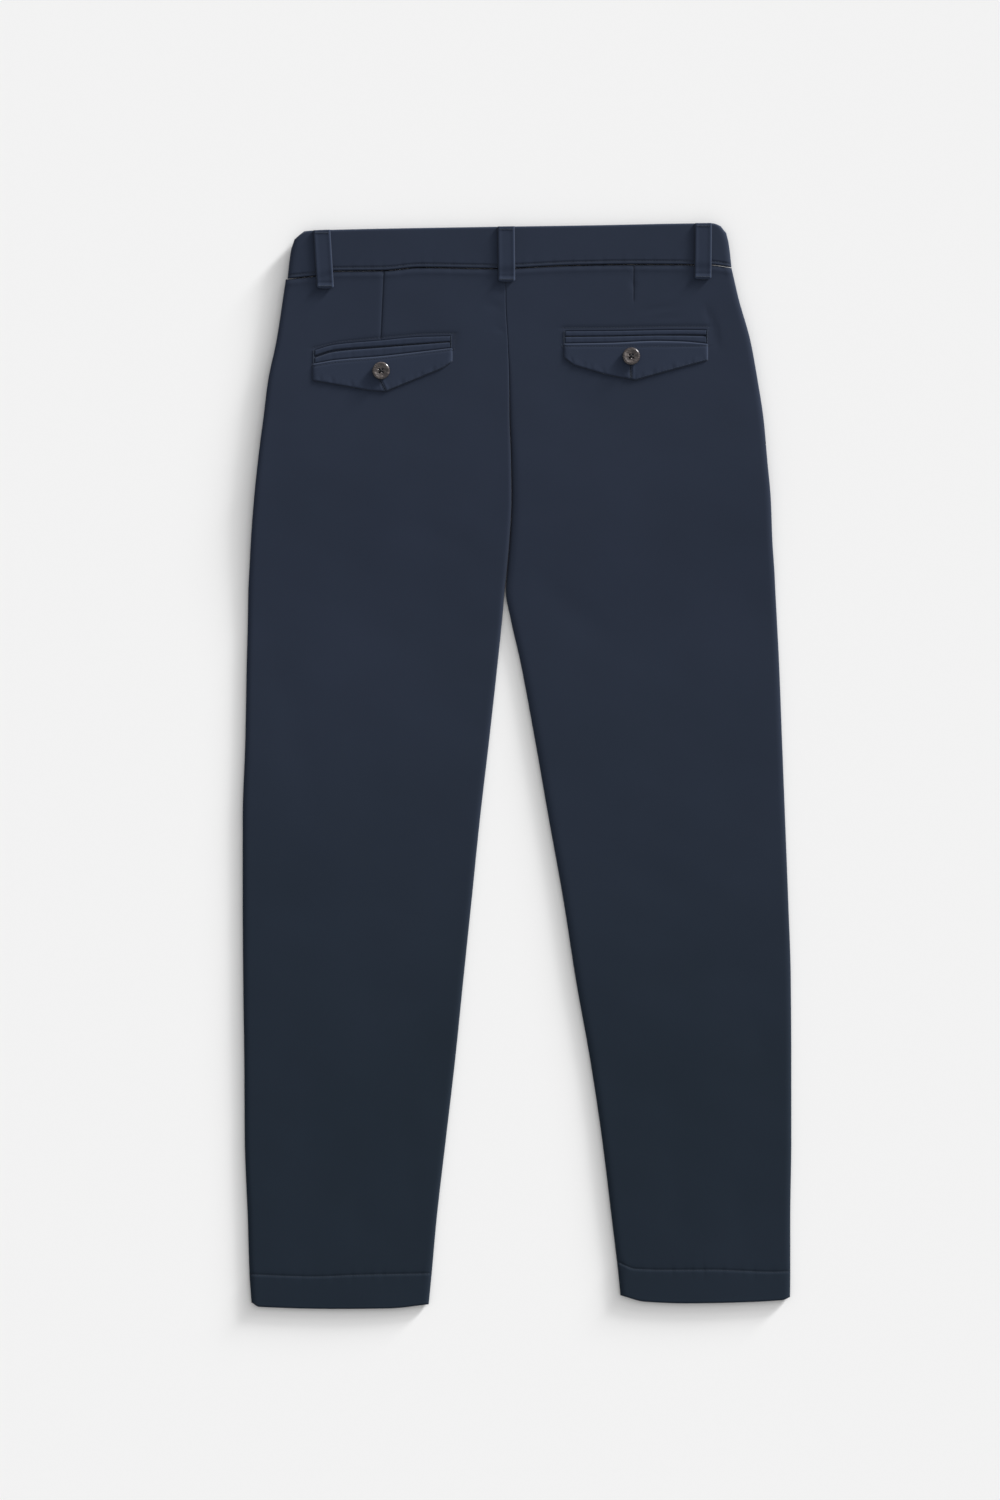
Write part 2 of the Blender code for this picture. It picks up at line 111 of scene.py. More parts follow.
LEFT_HEM_SEWN = [(-257.5, -493), (-197, -495), (-155, -493.4), (-85, -492)]
RIGHT_HEM_SEWN = [
    (98, -481),
    (114.5, -487.6),
    (143, -488.6),
    (187, -488.4),
    (247, -490.5),
    (264, -490),
]
WAIST_SEAM = [
    (-222, 472),
    (-195, 475),
    (-177, 479.5),
    (-129, 480),
    (-94, 483),
    (-21, 482),
    (51, 485),
    (110, 486),
    (188, 485.5),
    (207, 483),
]
WAIST_TOP = [
    (-216, 516),
    (-205, 518.5),
    (-167, 520),
    (-16, 522.7),
    (69, 524),
    (189, 526),
    (201, 521.7),
]

BandSection = namedtuple("BandSection", "share left right")
BAND_SECTIONS = [
    BandSection(0, -222.3, 207.8),
    BandSection(0.35, -220.8, 206.4),
    BandSection(0.65, -218.9, 204.8),
    BandSection(0.88, -215.5, 202.5),
    BandSection(1, -206, 197.5),
]
BAND_SPLIT = 12.0

# Heights of the faces above the floor.
LEG_THICKNESS = 4.2
SEAT_LIFT = 3.5
LIFT_FROM, LIFT_TO = 120.0, 300.0
BAND_PROUD = 0.6
MIDDLE_GAP = 0.12

# How the centre-back and inside-leg edges of a panel turn down.
InnerEdge = namedtuple("InnerEdge", "y depth left_reach right_reach")
INNER_EDGES = [
    InnerEdge(-526, 1.98, 6.0, 7.0),
    InnerEdge(-180, 1.98, 6.0, 9.0),
    InnerEdge(65, 1.98, 6.0, 9.5),
    InnerEdge(140, 2.0, 5.0, 8.0),
    InnerEdge(165, 2.05, 5.0, 8.0),
    InnerEdge(200, 2.1, 5.0, 9.0),
    InnerEdge(258, 2.05, 4.0, 9.0),
    InnerEdge(305, 1.7, 3.5, 8.0),
    InnerEdge(345, 1.1, 3.0, 6.0),
    InnerEdge(387, 0.55, 2.4, 3.6),
    InnerEdge(410, 0.3, 1.6, 1.6),
    InnerEdge(482, 0.35, 1.2, 1.2),
]

# Soft creases: from one point to the other, half width and depth; each is deepest around the middle of
# its run.
Crease = namedtuple("Crease", "x0 y0 x1 y1 reach depth")
BACK_CREASES = [
    Crease(-24, 150, -118, 52, 13, 0.30),
    Crease(-30, 205, -108, 236, 15, 0.22),
    Crease(10, 190, 92, 118, 15, 0.24),
    Crease(4, 240, 74, 262, 12, 0.16),
    Crease(-226, 318, -258, 282, 10, 0.30),
    Crease(-238, 120, -196, -40, 16, 0.18),
    Crease(-96, -118, -206, -146, 20, 0.20),
    Crease(-70, -232, -170, -208, 18, 0.22),
    Crease(-212, -262, -246, -330, 14, 0.18),
    Crease(-158, -388, -152, -470, 13, 0.16),
    Crease(-108, -330, -98, -458, 12, 0.14),
    Crease(92, -96, 176, -128, 20, 0.20),
    Crease(112, -214, 206, -190, 18, 0.20),
    Crease(226, -236, 250, -322, 14, 0.16),
    Crease(150, -372, 160, -462, 13, 0.16),
    Crease(212, -398, 220, -476, 12, 0.14),
    Crease(188, 436, 194.5, 404, 2.6, 0.55),
    Crease(183, 446, 186, 430, 3.2, 0.25),
    Crease(120, 441, 152, 445.5, 2.6, 0.22),
    Crease(130, 433, 158, 436, 2.4, 0.18),
    Crease(-24, 466, -13, 458, 3.4, 0.25),
    Crease(-30, 448, -16, 444, 3.6, 0.22),
    Crease(-22, 426, -12, 420, 3.0, 0.16),
    Crease(110, 474, 114, 462, 2.2, 0.30),
]
FRONT_CREASES = [
    Crease(-24, 150, -110, 70, 15, 0.35),
    Crease(10, 160, 96, 84, 15, 0.35),
    Crease(-150, -90, -214, -116, 20, 0.30),
    Crease(96, -120, 184, -150, 20, 0.30),
    Crease(-92, -240, -176, -214, 18, 0.25),
    Crease(126, -246, 210, -222, 18, 0.25),
    Crease(-160, -380, -150, -470, 13, 0.20),
    Crease(180, -372, 188, -462, 13, 0.20),
    Crease(-60, 330, -36, 300, 9, 0.30),
    Crease(40, 330, 22, 300, 9, 0.30),
]
Wave = namedtuple("Wave", "length turn phase height")
CLOTH_WAVES = [
    Wave(310, 0.20, 0.4, 0.16),
    Wave(190, 1.85, 2.1, 0.11),
    Wave(137, 0.72, 4.0, 0.08),
    Wave(104, 2.62, 1.2, 0.055),
    Wave(71, 0.05, 5.2, 0.035),
    Wave(47, 1.10, 3.3, 0.02),
]
SEAM_RIPPLES = [Wave(6.1, 0, 0.3, 0.5), Wave(9.7, 0, 1.7, 0.6), Wave(16.3, 0, 4.1, 0.7)]

# --- Pockets, loops and buttons --------------------------------------------

PocketStation = namedtuple("PocketStation", "x top mouth bottom gap")
Pocket = namedtuple("Pocket", "side stations box patch button slit")
POCKETS = [
    Pocket(
        side="left",
        stations=[
            PocketStation(-196.5, 403.5, 396.5, 390, 1.9),
            PocketStation(-176, 409, 402.5, 393.5, 1.7),
            PocketStation(-131, 413.2, 406.2, 397.3, 1.2),
            PocketStation(-94, 416.5, 409, 401.5, 0.8),
            PocketStation(-64.5, 417.2, 411.2, 405, 0.4),
        ],
        box=[
            (-199, 405),
            (-172, 411.2),
            (-131, 415.4),
            (-94, 418.7),
            (-60, 419.4),
            (-60.6, 403.4),
            (-94, 399.4),
            (-131, 395),
            (-176, 391.2),
            (-198.6, 387),
            (-199, 405),
        ],
        patch=[
            (-198.5, 373.6),
            (-141.5, 363.5),
            (-127, 362.6),
            (-104.4, 371.8),
            (-71.7, 385.4),
            (-62.5, 392),
        ],
        button=(-131.6, 383.0),
        slit=((-133, 374.5), (-127.6, 364.0)),
    ),
    Pocket(
        side="right",
        stations=[
            PocketStation(46, 422, 416.2, 409.4, 0.35),
            PocketStation(92, 422.2, 416.6, 410.2, 0.3),
            PocketStation(134, 423, 417.5, 412, 0.35),
            PocketStation(160, 423.2, 417.6, 411.4, 0.8),
            PocketStation(183.5, 423, 417.2, 409.4, 1.0),
        ],
        box=[
            (43, 424.6),
            (92, 424.8),
            (134, 425.8),
            (160, 426.2),
            (185.4, 426),
            (185.6, 407),
            (134, 406.6),
            (92, 406.8),
            (43, 406.4),
            (43, 424.6),
        ],
        patch=[
            (45, 396),
            (55.3, 388.2),
            (86.8, 378.9),
            (115, 373.6),
            (142.5, 381.4),
            (185, 393),
        ],
        button=(110.6, 397.0),
        slit=((110, 388), (110.3, 376)),
    ),
]
POCKET_DEPTH = 1.5

Loop = namedtuple("Loop", "name top_x bottom_x bottom_y face")
LOOPS = [
    Loop("belt_loop_back_left", -189, -185.5, 463, 1),
    Loop("belt_loop_back_centre", -10.5, -10, 469.5, 1),
    Loop("belt_loop_back_right", 180.5, 180, 472, 1),
    Loop("belt_loop_front_left", -96, -96, 468, -1),
    Loop("belt_loop_front_right", 76, 76, 470, -1),
]
LOOP_WIDTH = 16.5

DARTS = {"left": [(-129, 479), (-132, 414.5)], "right": [(113, 484), (113, 452)]}

FRONT_MOUTHS = {
    "left": [(-262, 290), (-174, 500)],
    "right": [(252, 290), (160, 500)],
}
FLY_EDGE_X, FLY_WIDTH, FLY_BOTTOM, FLY_CURVE = -7.5, 38.0, 306.0, 346.0

BUTTON_PROFILE = [
    (0, 1.62),
    (2.4, 1.6),
    (4.5, 1.72),
    (5.5, 2.02),
    (6.3, 2.42),
    (6.9, 2.5),
    (7.6, 2.4),
    (8.2, 2.02),
    (8.5, 1.35),
    (8.3, 0.8),
    (7.4, 0.32),
    (4.6, 0),
    (0, 0),
]
BUTTON_STEPS = 48
HOLE_RADIUS, HOLE_SPACING = 0.95, 3.0

# --- Curves and cloth heights ----------------------------------------------


def curve_through(stations):
    """Smooth curve through (place, value) stations, level past both ends."""
    place, value = np.array(stations, float).T
    steep = np.diff(value) / np.diff(place)
    before, after = steep[:-1], steep[1:]
    same = before * after > 0
    middle = np.where(same, 2 * before * after / np.where(same, before + after, 1), 0)
    slope = np.concatenate([steep[:1], middle, steep[-1:]])

    def curve(at):
        at = np.clip(at, place[0], place[-1])
        index = np.clip(np.searchsorted(place, at, side="right") - 1, 0, len(place) - 2)
        span = place[index + 1] - place[index]
        t = (at - place[index]) / span
        return (
            (1 + 2 * t) * (1 - t) ** 2 * value[index]
            + t * (1 - t) ** 2 * span * slope[index]
            + t * t * (3 - 2 * t) * value[index + 1]
            + t * t * (t - 1) * span * slope[index + 1]
        )

    return curve


def line_through(stations):
    """Straight lines through (place, value) stations, level past both ends."""
    place, value = np.array(sorted(stations), float).T
    return lambda at: np.interp(at, place, value)


def column_of(rows, key, field):
    return curve_through([(getattr(row, key), getattr(row, field)) for row in rows])


def ease(value, low, high):
    """0 below low and 1 above high, with a soft turn at both."""
    t = np.clip((value - low) / (high - low), 0, 1)
    return t * t * (3 - 2 * t)


def fall(distance, reach, power=2.3):
    """1 on a folded edge and 0 from reach inwards, round like turned cloth."""
    t = 1 - np.clip(distance / reach, 0, 1)
    return 1 - (1 - t**power) ** (1 / power)


def dip(distance, reach):
    return np.exp(-((distance / reach) ** 2))


def lift(y):
    return SEAT_LIFT * ease(y, LIFT_FROM, LIFT_TO)


def waves_at(waves, x, y):
    total = 0.0
    for wave in waves:
        along = x * np.cos(wave.turn) + y * np.sin(wave.turn)
        total = total + wave.height * np.sin(2 * np.pi * along / wave.length + wave.phase)
    return total


def crease_depth(creases, x, y):
    """Depth of all the soft troughs at a place; each fades out at its ends."""
    total = 0.0
    for crease in creases:
        start = np.array([crease.x0, crease.y0])
        run = np.array([crease.x1, crease.y1]) - start
        length = np.hypot(*run)
        along = ((x - start[0]) * run[0] + (y - start[1]) * run[1]) / length**2
        off = ((x - start[0]) * run[1] - (y - start[1]) * run[0]) / length
        fade = ease(along, -0.25, 0.35) * (1 - ease(along, 0.65, 1.25))
        total = total + crease.depth * dip(off, crease.reach) * fade
    return total


def path_distance(path, x, y):
    """Distance from a place to the nearest point of a path."""
    best = np.full(np.shape(x + y), 1e9)
    for (x0, y0), (x1, y1) in zip(path, path[1:]):
        length = (x1 - x0) ** 2 + (y1 - y0) ** 2
        t = np.clip(((x - x0) * (x1 - x0) + (y - y0) * (y1 - y0)) / length, 0, 1)
        best = np.minimum(best, np.hypot(x - x0 - t * (x1 - x0), y - y0 - t * (y1 - y0)))
    return best


EDGES = {name: column_of(SECTIONS, "y", name) for name in Section._fields[1:]}
waist_seam = curve_through(WAIST_SEAM)
waist_top = curve_through(WAIST_TOP)
band_left = line_through([(row.share, row.left) for row in BAND_SECTIONS])
band_right = line_through([(row.share, row.right) for row in BAND_SECTIONS])
inner_depth = column_of(INNER_EDGES, "y", "depth")

Panel = namedtuple("Panel", "side turn outer inner inner_reach hem hem_sewn dart pocket")
PANELS = [
    Panel(
        side=side,
        turn=turn,
        outer=EDGES[side + "_side"],
        inner=EDGES[side + "_inner"],
        inner_reach=column_of(INNER_EDGES, "y", side + "_reach"),
        hem=curve_through(hem),
        hem_sewn=curve_through(sewn),
        dart=DARTS[side],
        pocket=pocket,
    )
    for side, turn, hem, sewn, pocket in (
        ("left", 1, LEFT_HEM, LEFT_HEM_SEWN, POCKETS[0]),
        ("right", -1, RIGHT_HEM, RIGHT_HEM_SEWN, POCKETS[1]),
    )
]


def pocket_curve(pocket, field):
    return curve_through([(row.x, getattr(row, field)) for row in pocket.stations])


def panel_base(panel, x, y):
    """Height of a back panel without its pocket: flat cloth, edges, hem, seams and creases."""
    outer = panel.turn * (x - panel.outer(y))
    inner = panel.turn * (panel.inner(y) - x)
    z = LEG_THICKNESS + lift(y) + waves_at(CLOTH_WAVES, x, y)
    z = z - crease_depth(BACK_CREASES, x, y)
    z = z - (LEG_THICKNESS / 2 - MIDDLE_GAP) * fall(outer, EDGE_ROLL)
    z = z - inner_depth(y) * fall(inner, panel.inner_reach(y))
    sewn = y - panel.hem_sewn(x)
    ripple = waves_at(SEAM_RIPPLES, x, y)
    z = z + 0.4 * (1 - ease(sewn, -1.2, 1.6)) - 0.35 * dip(sewn - 0.5, 1.3)
    z = z + 0.1 * ripple * dip(sewn, 5)
    z = z - 1.1 * fall(y - panel.hem(x), 2.2)
    below = waist_seam(x) - y
    z = z - 1.0 * fall(below, 2.6) + 0.28 * dip(below - 4.5, 2.6)
    z = z + 0.07 * ripple * dip(below - 2, 5)
    dart = path_distance(panel.dart, x, y)
    return z - (0.5 if panel.side == "left" else 0.3) * dip(dart, 0.75)


def in_pocket(pocket, x, y):
    """1 inside the opening that the jets fill and 0 outside it."""
    first, last = pocket.stations[0].x, pocket.stations[-1].x
    return (
        np.clip((y - pocket_curve(pocket, "bottom")(x)) / 0.7, 0, 1)
        * np.clip((pocket_curve(pocket, "top")(x) - y) / 0.7, 0, 1)
        * np.clip((x - first) / 0.7, 0, 1)
        * np.clip((last - x) / 0.7, 0, 1)
    )


def back_height(panel, x, y):
    """Height of a back panel's outer face, with the recess behind its jets."""
    z = panel_base(panel, x, y)
    box = path_distance(panel.pocket.box, x, y)
    z = z - 0.3 * dip(box, 1.1)
    return z - POCKET_DEPTH * in_pocket(panel.pocket, x, y)


def front_height(panel, x, y):
    """Height of a front panel's outer face, which looks down at the floor."""
    outer = panel.turn * (x - panel.outer(y))
    inner = panel.turn * (panel.inner(y) - x)
    z = lift(y) + crease_depth(FRONT_CREASES, x, y)
    mouth = panel.turn * (x - line_through_y(FRONT_MOUTHS[panel.side], y))
    open_side = ease(y, 300, 330)
    z = z + (LEG_THICKNESS / 2 - MIDDLE_GAP) * fall(outer, EDGE_ROLL) * (1 - open_side)
    z = z + 0.6 * fall(mouth, 1.8) * open_side
    depth = np.where(y < 180, LEG_THICKNESS / 2 - MIDDLE_GAP, 0.35)
    reach = np.where(y < 180, EDGE_ROLL, 1.4)
    z = z + depth * fall(inner, reach)
    sewn = y - panel.hem_sewn(x)
    z = z + 0.25 * dip(sewn, 1.3) + 1.1 * fall(y - panel.hem(x), 2.2)
    below = waist_seam(x) - y
    return z + 0.9 * fall(below, 2.4)


def line_through_y(path, y):
    """X of a straight path at a height, carried straight on past its ends."""
    (x0, y0), (x1, y1) = path
    return x0 + (x1 - x0) * (y - y0) / (y1 - y0)


def band_share(x, y):
    return np.clip((y - waist_seam(x)) / (waist_top(x) - waist_seam(x)), 0, 1)


def band_relief(x, y):
    """How far the waistband's face sinks, at its edges, its sewn row and its puckers."""
    share = band_share(x, y)
    up = y - waist_seam(x)
    ripple = waves_at(SEAM_RIPPLES, x, y)
    z = -0.9 * fall(up - 0.4, 1.8) - 1.2 * fall(waist_top(x) - y, 2.4)
    z = z - 0.32 * dip(up - 3.6, 1.0) + 0.08 * ripple * dip(up - 4, 5)
    side = fall(x - band_left(share), EDGE_ROLL) + fall(band_right(share) - x, EDGE_ROLL)
    return z - 2.4 * np.clip(side, 0, 1)


def band_height(x, y):
    face = LEG_THICKNESS + SEAT_LIFT + BAND_PROUD
    return face + 0.6 * waves_at(CLOTH_WAVES, x, y) + band_relief(x, y)


def band_front_height(x, y):
    return SEAT_LIFT - BAND_PROUD - band_relief(x, y)


EDGE_ROLL = 6.5
WALL = 0.7
LEAST_CUT = 10.1

# --- Meshes -----------------------------------------------------------------


def steps_of(counts):
    """Anchor number and share for every line of a grid, counts[i] steps after anchor i."""
    pairs = [(i, k / count) for i, count in enumerate(counts) for k in range(count)]
    pairs.append((len(counts) - 1, 1.0))
    index, share = zip(*pairs)
    return np.array(index), np.array(share)


def woven_grid(row_curves, row_counts, column_lines, column_counts):
    """X and Y of a grid whose rows follow curves over X and whose columns follow lines over Y."""
    row, up = steps_of(row_counts)
    column, along = steps_of(column_counts)
    rows, columns = np.arange(len(row)), np.arange(len(column))
    y = np.zeros((len(row), len(column)))
    for _ in range(6):
        lines = np.stack([line(y) for line in column_lines])
        low = lines[column, :, columns].T
        x = low + (lines[column + 1, :, columns].T - low) * along
        curves = np.stack([curve(x) for curve in row_curves])
        low = curves[row, rows]
        y = low + (curves[row + 1, rows] - low) * up[:, None]
    return x, y


def shifted(curve, by):
    return lambda at: curve(at) + by


def between(first, second, share):
    return lambda at: first(at) + (second(at) - first(at)) * share


def level(value):
    return lambda at: np.full(np.shape(at), float(value))


def unrolled(points):
    """Greatest width, greatest length and area of a grid of cloth laid out flat, in metres."""
    across = np.linalg.norm(np.diff(points, axis=1), axis=2)
    along = np.linalg.norm(np.diff(points, axis=0), axis=2)
    width, length = across.sum(axis=1).max(), along.sum(axis=0).max()
    first = np.cross(points[1:, :-1] - points[:-1, :-1], points[:-1, 1:] - points[:-1, :-1])
    second = np.cross(points[:-1, 1:] - points[1:, 1:], points[1:, :-1] - points[1:, 1:])
    area = (np.linalg.norm(first, axis=2) + np.linalg.norm(second, axis=2)).sum() / 2
    width, length = max(width, LEAST_CUT), max(length, LEAST_CUT)
    area = min(area, width * length)
    return (float(width * MM), float(length * MM)), float(area * MM * MM)


def cloth_piece(name, x, y, z, finish, nodes, face=1, wall=WALL, painted_light_and_wear=None):
    """Sheet of cloth over a grid of places, with its outer face up or down and a wall behind it."""
    points = np.stack([x, y, z], axis=2)
    rows, columns = points.shape[:2]
    bm = bmesh.new()
    cloth = bm.loops.layers.uv.new("cloth")
    # Per-vertex layer of painted shade, painted highlights and rubbed wear, which the cloth's colour
    # adds in.
    shade = bm.verts.layers.float.new("painted_light_and_wear")
    bmesh.ops.create_grid(bm, x_segments=columns - 1, y_segments=rows - 1, size=0.5)
    for vert in bm.verts:
        column = round((vert.co.x + 0.5) * (columns - 1))
        row = round((vert.co.y + 0.5) * (rows - 1))
        vert.co = points[row, column] * MM
        if painted_light_and_wear is not None:
            vert[shade] = painted_light_and_wear[row, column]
    if face < 0:
        bmesh.ops.reverse_faces(bm, faces=bm.faces)
    for polygon in bm.faces:
        polygon.smooth = True
        for loop in polygon.loops:
            loop[cloth].uv = loop.vert.co.xy
    piece = new_piece(name, bm, finish, nodes)
    shell = piece.modifiers.new("wall", "SOLIDIFY")
    shell.thickness = wall * MM
    shell.offset = -1.0
    flat, area = unrolled(points)
    return piece


def new_piece(name, bm, finish, nodes=()):
    """The object made of a mesh, riding on the garment's body and standing for its nodes."""
    mesh = bpy.data.meshes.new(name)
    bm.to_mesh(mesh)
    bm.free()
    mesh.materials.append(finish)
    piece = bpy.data.objects.new(name, mesh)
    bpy.context.scene.collection.objects.link(piece)
    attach(piece, BODY)
    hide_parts(*nodes)
    return piece


def bead(bm, start, end, width, height):
    """Short length of thread between two points, pointed a little at its ends."""
    start, end = Vector(start) * MM, Vector(end) * MM
    run = end - start
    turn = run.to_track_quat("X", "Z").to_matrix().to_4x4()
    size = Matrix.Diagonal((run.length / 2, width * MM / 2, height * MM / 2, 1.0))
    place = Matrix.Translation((start + end) / 2) @ turn @ size
    bmesh.ops.create_icosphere(bm, subdivisions=1, radius=1.0, matrix=place)


def stitch_row(bm, path, height, settings, face=1, pitch=None):
    """Row of stitches along a path over cloth whose height is given."""
    path = np.array(path, float)
    run = np.concatenate([[0], np.cumsum(np.hypot(*np.diff(path, axis=0).T))])
    pitch = pitch or settings.stitch_pitch / MM
    count = max(1, int(round(run[-1] / pitch)))
    step = run[-1] / count
    half = step * 0.36
    ends = (np.arange(count) + 0.5)[:, None] * step + np.array([-half, half])
    x = np.interp(ends, run, path[:, 0])
    y = np.interp(ends, run, path[:, 1])
    z = height(x, y) + 0.05 * face
    width = settings.thread_width / MM
    for i in range(count):
        bead(bm, (x[i, 0], y[i, 0], z[i, 0]), (x[i, 1], y[i, 1], z[i, 1]), width, width * 0.8)


def bar_tack(bm, start, end, width, height, settings, face=1):
    """Close bar of threads across the line from start to end."""
    start, end = np.array(start, float), np.array(end, float)
    run = end - start
    length = np.hypot(*run)
    side = np.array([-run[1], run[0]]) / length * width / 2
    count = max(3, int(length / 0.55))
    for i in range(count):
        middle = start + run * (i + 0.5) / count
        left, right = middle - side, middle + side
        z = float(height(*middle)) + 0.12 * face
        thread = settings.thread_width / MM
        bead(bm, (*left, z), (*right, z), thread, thread)


def sampled(curve, start, end, step=4.0):
    """Path along a curve over X from start to end."""
    count = max(2, int(abs(end - start) / step) + 1)
    x = np.linspace(start, end, count)
    return np.stack([x, curve(x)], axis=1)


# --- Finishes ---------------------------------------------------------------


def new_group(name, inputs, outputs):
    """Empty shader group with its named sockets; gives back the tree and its two ends."""
    tree = bpy.data.node_groups.new(name, "ShaderNodeTree")
    for socket, kind, value in inputs:
        made = tree.interface.new_socket(socket, in_out="INPUT", socket_type=kind)
        if value is not None:
            made.default_value = value
    for socket, kind in outputs:
        tree.interface.new_socket(socket, in_out="OUTPUT", socket_type=kind)
    return tree, tree.nodes.new("NodeGroupInput"), tree.nodes.new("NodeGroupOutput")


def add_node(tree, kind, sockets=None, **settings):
    """Shader node with its settings, and its sockets linked or given their values."""
    made = tree.nodes.new("ShaderNode" + kind)
    for key, value in settings.items():
        setattr(made, key, value)
    for socket, value in (sockets or {}).items():
        if isinstance(value, bpy.types.NodeSocket):
            tree.links.new(value, made.inputs[socket])
        else:
            made.inputs[socket].default_value = value
    return made


def add_math(tree, operation, *values):
    sockets = dict(enumerate(values))
    return add_node(tree, "Math", sockets, operation=operation).outputs[0]


def mix_colours(tree, share, first, second, blend="MIX"):
    made = add_node(tree, "Mix", data_type="RGBA", blend_type=blend)
    for index, value in ((0, share), (6, first), (7, second)):
        if isinstance(value, bpy.types.NodeSocket):
            tree.links.new(value, made.inputs[index])
        else:
            made.inputs[index].default_value = value
    return made.outputs[2]


def make_weave_group():
    """Twill: fine diagonal ribs crossed by uneven yarns. Place is in metres on the cloth."""
    tree, start, end = new_group(
        "Twill weave",
        [
            ("Place", "NodeSocketVector", None),
            ("Ribs per metre", "NodeSocketFloat", 1500.0),
            ("Unevenness", "NodeSocketFloat", 0.35),
        ],
        [("Height", "NodeSocketFloat"), ("Yarn", "NodeSocketFloat")],
    )
    place = start.outputs["Place"]
    turned = add_node(
        tree, "Mapping", {"Vector": place, "Rotation": (0.0, 0.0, 1.1)}, vector_type="POINT"
    ).outputs[0]
    across = add_node(tree, "SeparateXYZ", {"Vector": turned}).outputs["X"]
    phase = add_math(tree, "MULTIPLY", across, start.outputs["Ribs per metre"])
    wander = add_node(
        tree, "TexNoise", {"Vector": place, "Scale": 420.0, "Detail": 2.0}
    ).outputs[0]
    drift = add_math(tree, "MULTIPLY", wander, start.outputs["Unevenness"])
    phase = add_math(tree, "ADD", phase, drift)
    rib = add_math(tree, "SINE", add_math(tree, "MULTIPLY", phase, 6.2832))
    rib = add_math(tree, "MULTIPLY_ADD", rib, 0.5, 0.5)
    stretched = add_node(
        tree, "Mapping", {"Vector": place, "Scale": (2600.0, 320.0, 1.0)}
    ).outputs[0]
    yarn = add_node(
        tree, "TexNoise", {"Vector": stretched, "Scale": 1.0, "Detail": 2.0}
    ).outputs[0]
    height = add_math(tree, "MULTIPLY_ADD", rib, 0.62, add_math(tree, "MULTIPLY", yarn, 0.5))
    tree.links.new(height, end.inputs["Height"])
    tree.links.new(yarn, end.inputs["Yarn"])
    return tree


def make_dye_and_painted_shade_group():
    """Colour of the cloth: painted shade darkening it from the waist colour to the hem colour, soft dye
    blotches, yarn flecks, and the per-vertex painted shade, painted highlights and wear.
    """
    tree, start, end = new_group(
        "Cloth dye and painted shade",
        [
            ("Place", "NodeSocketVector", None),
            ("Yarn", "NodeSocketFloat", 0.5),
            ("Hem colour", "NodeSocketColor", (0.02, 0.03, 0.04, 1)),
            ("Waist colour", "NodeSocketColor", (0.03, 0.03, 0.05, 1)),
            ("Blotches", "NodeSocketFloat", 0.1),
            ("Flecks", "NodeSocketFloat", 0.1),
        ],
        [("Color", "NodeSocketColor"), ("Roughness", "NodeSocketFloat")],
    )
    place = start.outputs["Place"]
    height = add_node(tree, "SeparateXYZ", {"Vector": place}).outputs["Y"]
    cloud = add_node(
        tree, "TexNoise", {"Vector": place, "Scale": 5.5, "Detail": 3.0, "Roughness": 0.45}
    ).outputs[0]
    # Painted shade: the cloth darkens from the waist colour down to the hem colour, with a blotchy edge.
    rise = add_node(
        tree,
        "MapRange",
        {"Value": height, "From Min": -0.42, "From Max": 0.3, "To Min": 0.0, "To Max": 1.0},
        interpolation_type="SMOOTHSTEP",
    ).outputs[0]
    rise = add_math(tree, "ADD", rise, add_math(tree, "MULTIPLY_ADD", cloud, 0.6, -0.3))
    rise = add_node(tree, "Clamp", {"Value": rise}).outputs[0]
    colour = mix_colours(
        tree, rise, start.outputs["Hem colour"], start.outputs["Waist colour"]
    )
    patchy = add_node(
        tree, "TexNoise", {"Vector": place, "Scale": 16.0, "Detail": 4.0, "Roughness": 0.5}
    ).outputs[0]
    factor = add_math(tree, "SUBTRACT", patchy, 0.5)
    factor = add_math(tree, "MULTIPLY_ADD", factor, start.outputs["Blotches"], 1.0)
    fleck = add_math(tree, "SUBTRACT", start.outputs["Yarn"], 0.5)
    factor = add_math(
        tree, "ADD", factor, add_math(tree, "MULTIPLY", fleck, start.outputs["Flecks"])
    )
    # Per-vertex painted shade, painted highlights and rubbed wear, added to the colour factor.
    seam = add_node(tree, "Attribute", attribute_name="painted_light_and_wear", attribute_type="GEOMETRY")
    factor = add_math(tree, "ADD", factor, seam.outputs["Fac"])
    factor = add_math(tree, "MAXIMUM", factor, 0.1)
    grey = add_node(tree, "CombineColor", {0: factor, 1: factor, 2: factor}).outputs[0]
    colour = mix_colours(tree, 1.0, colour, grey, blend="MULTIPLY")
    rough = add_math(tree, "MULTIPLY_ADD", start.outputs["Yarn"], 0.12, 0.82)
    tree.links.new(colour, end.inputs["Color"])
    tree.links.new(rough, end.inputs["Roughness"])
    return tree


def new_material(name):
    material = bpy.data.materials.new(name)
    material.use_nodes = True
    return material, material.node_tree, material.node_tree.nodes["Principled BSDF"]


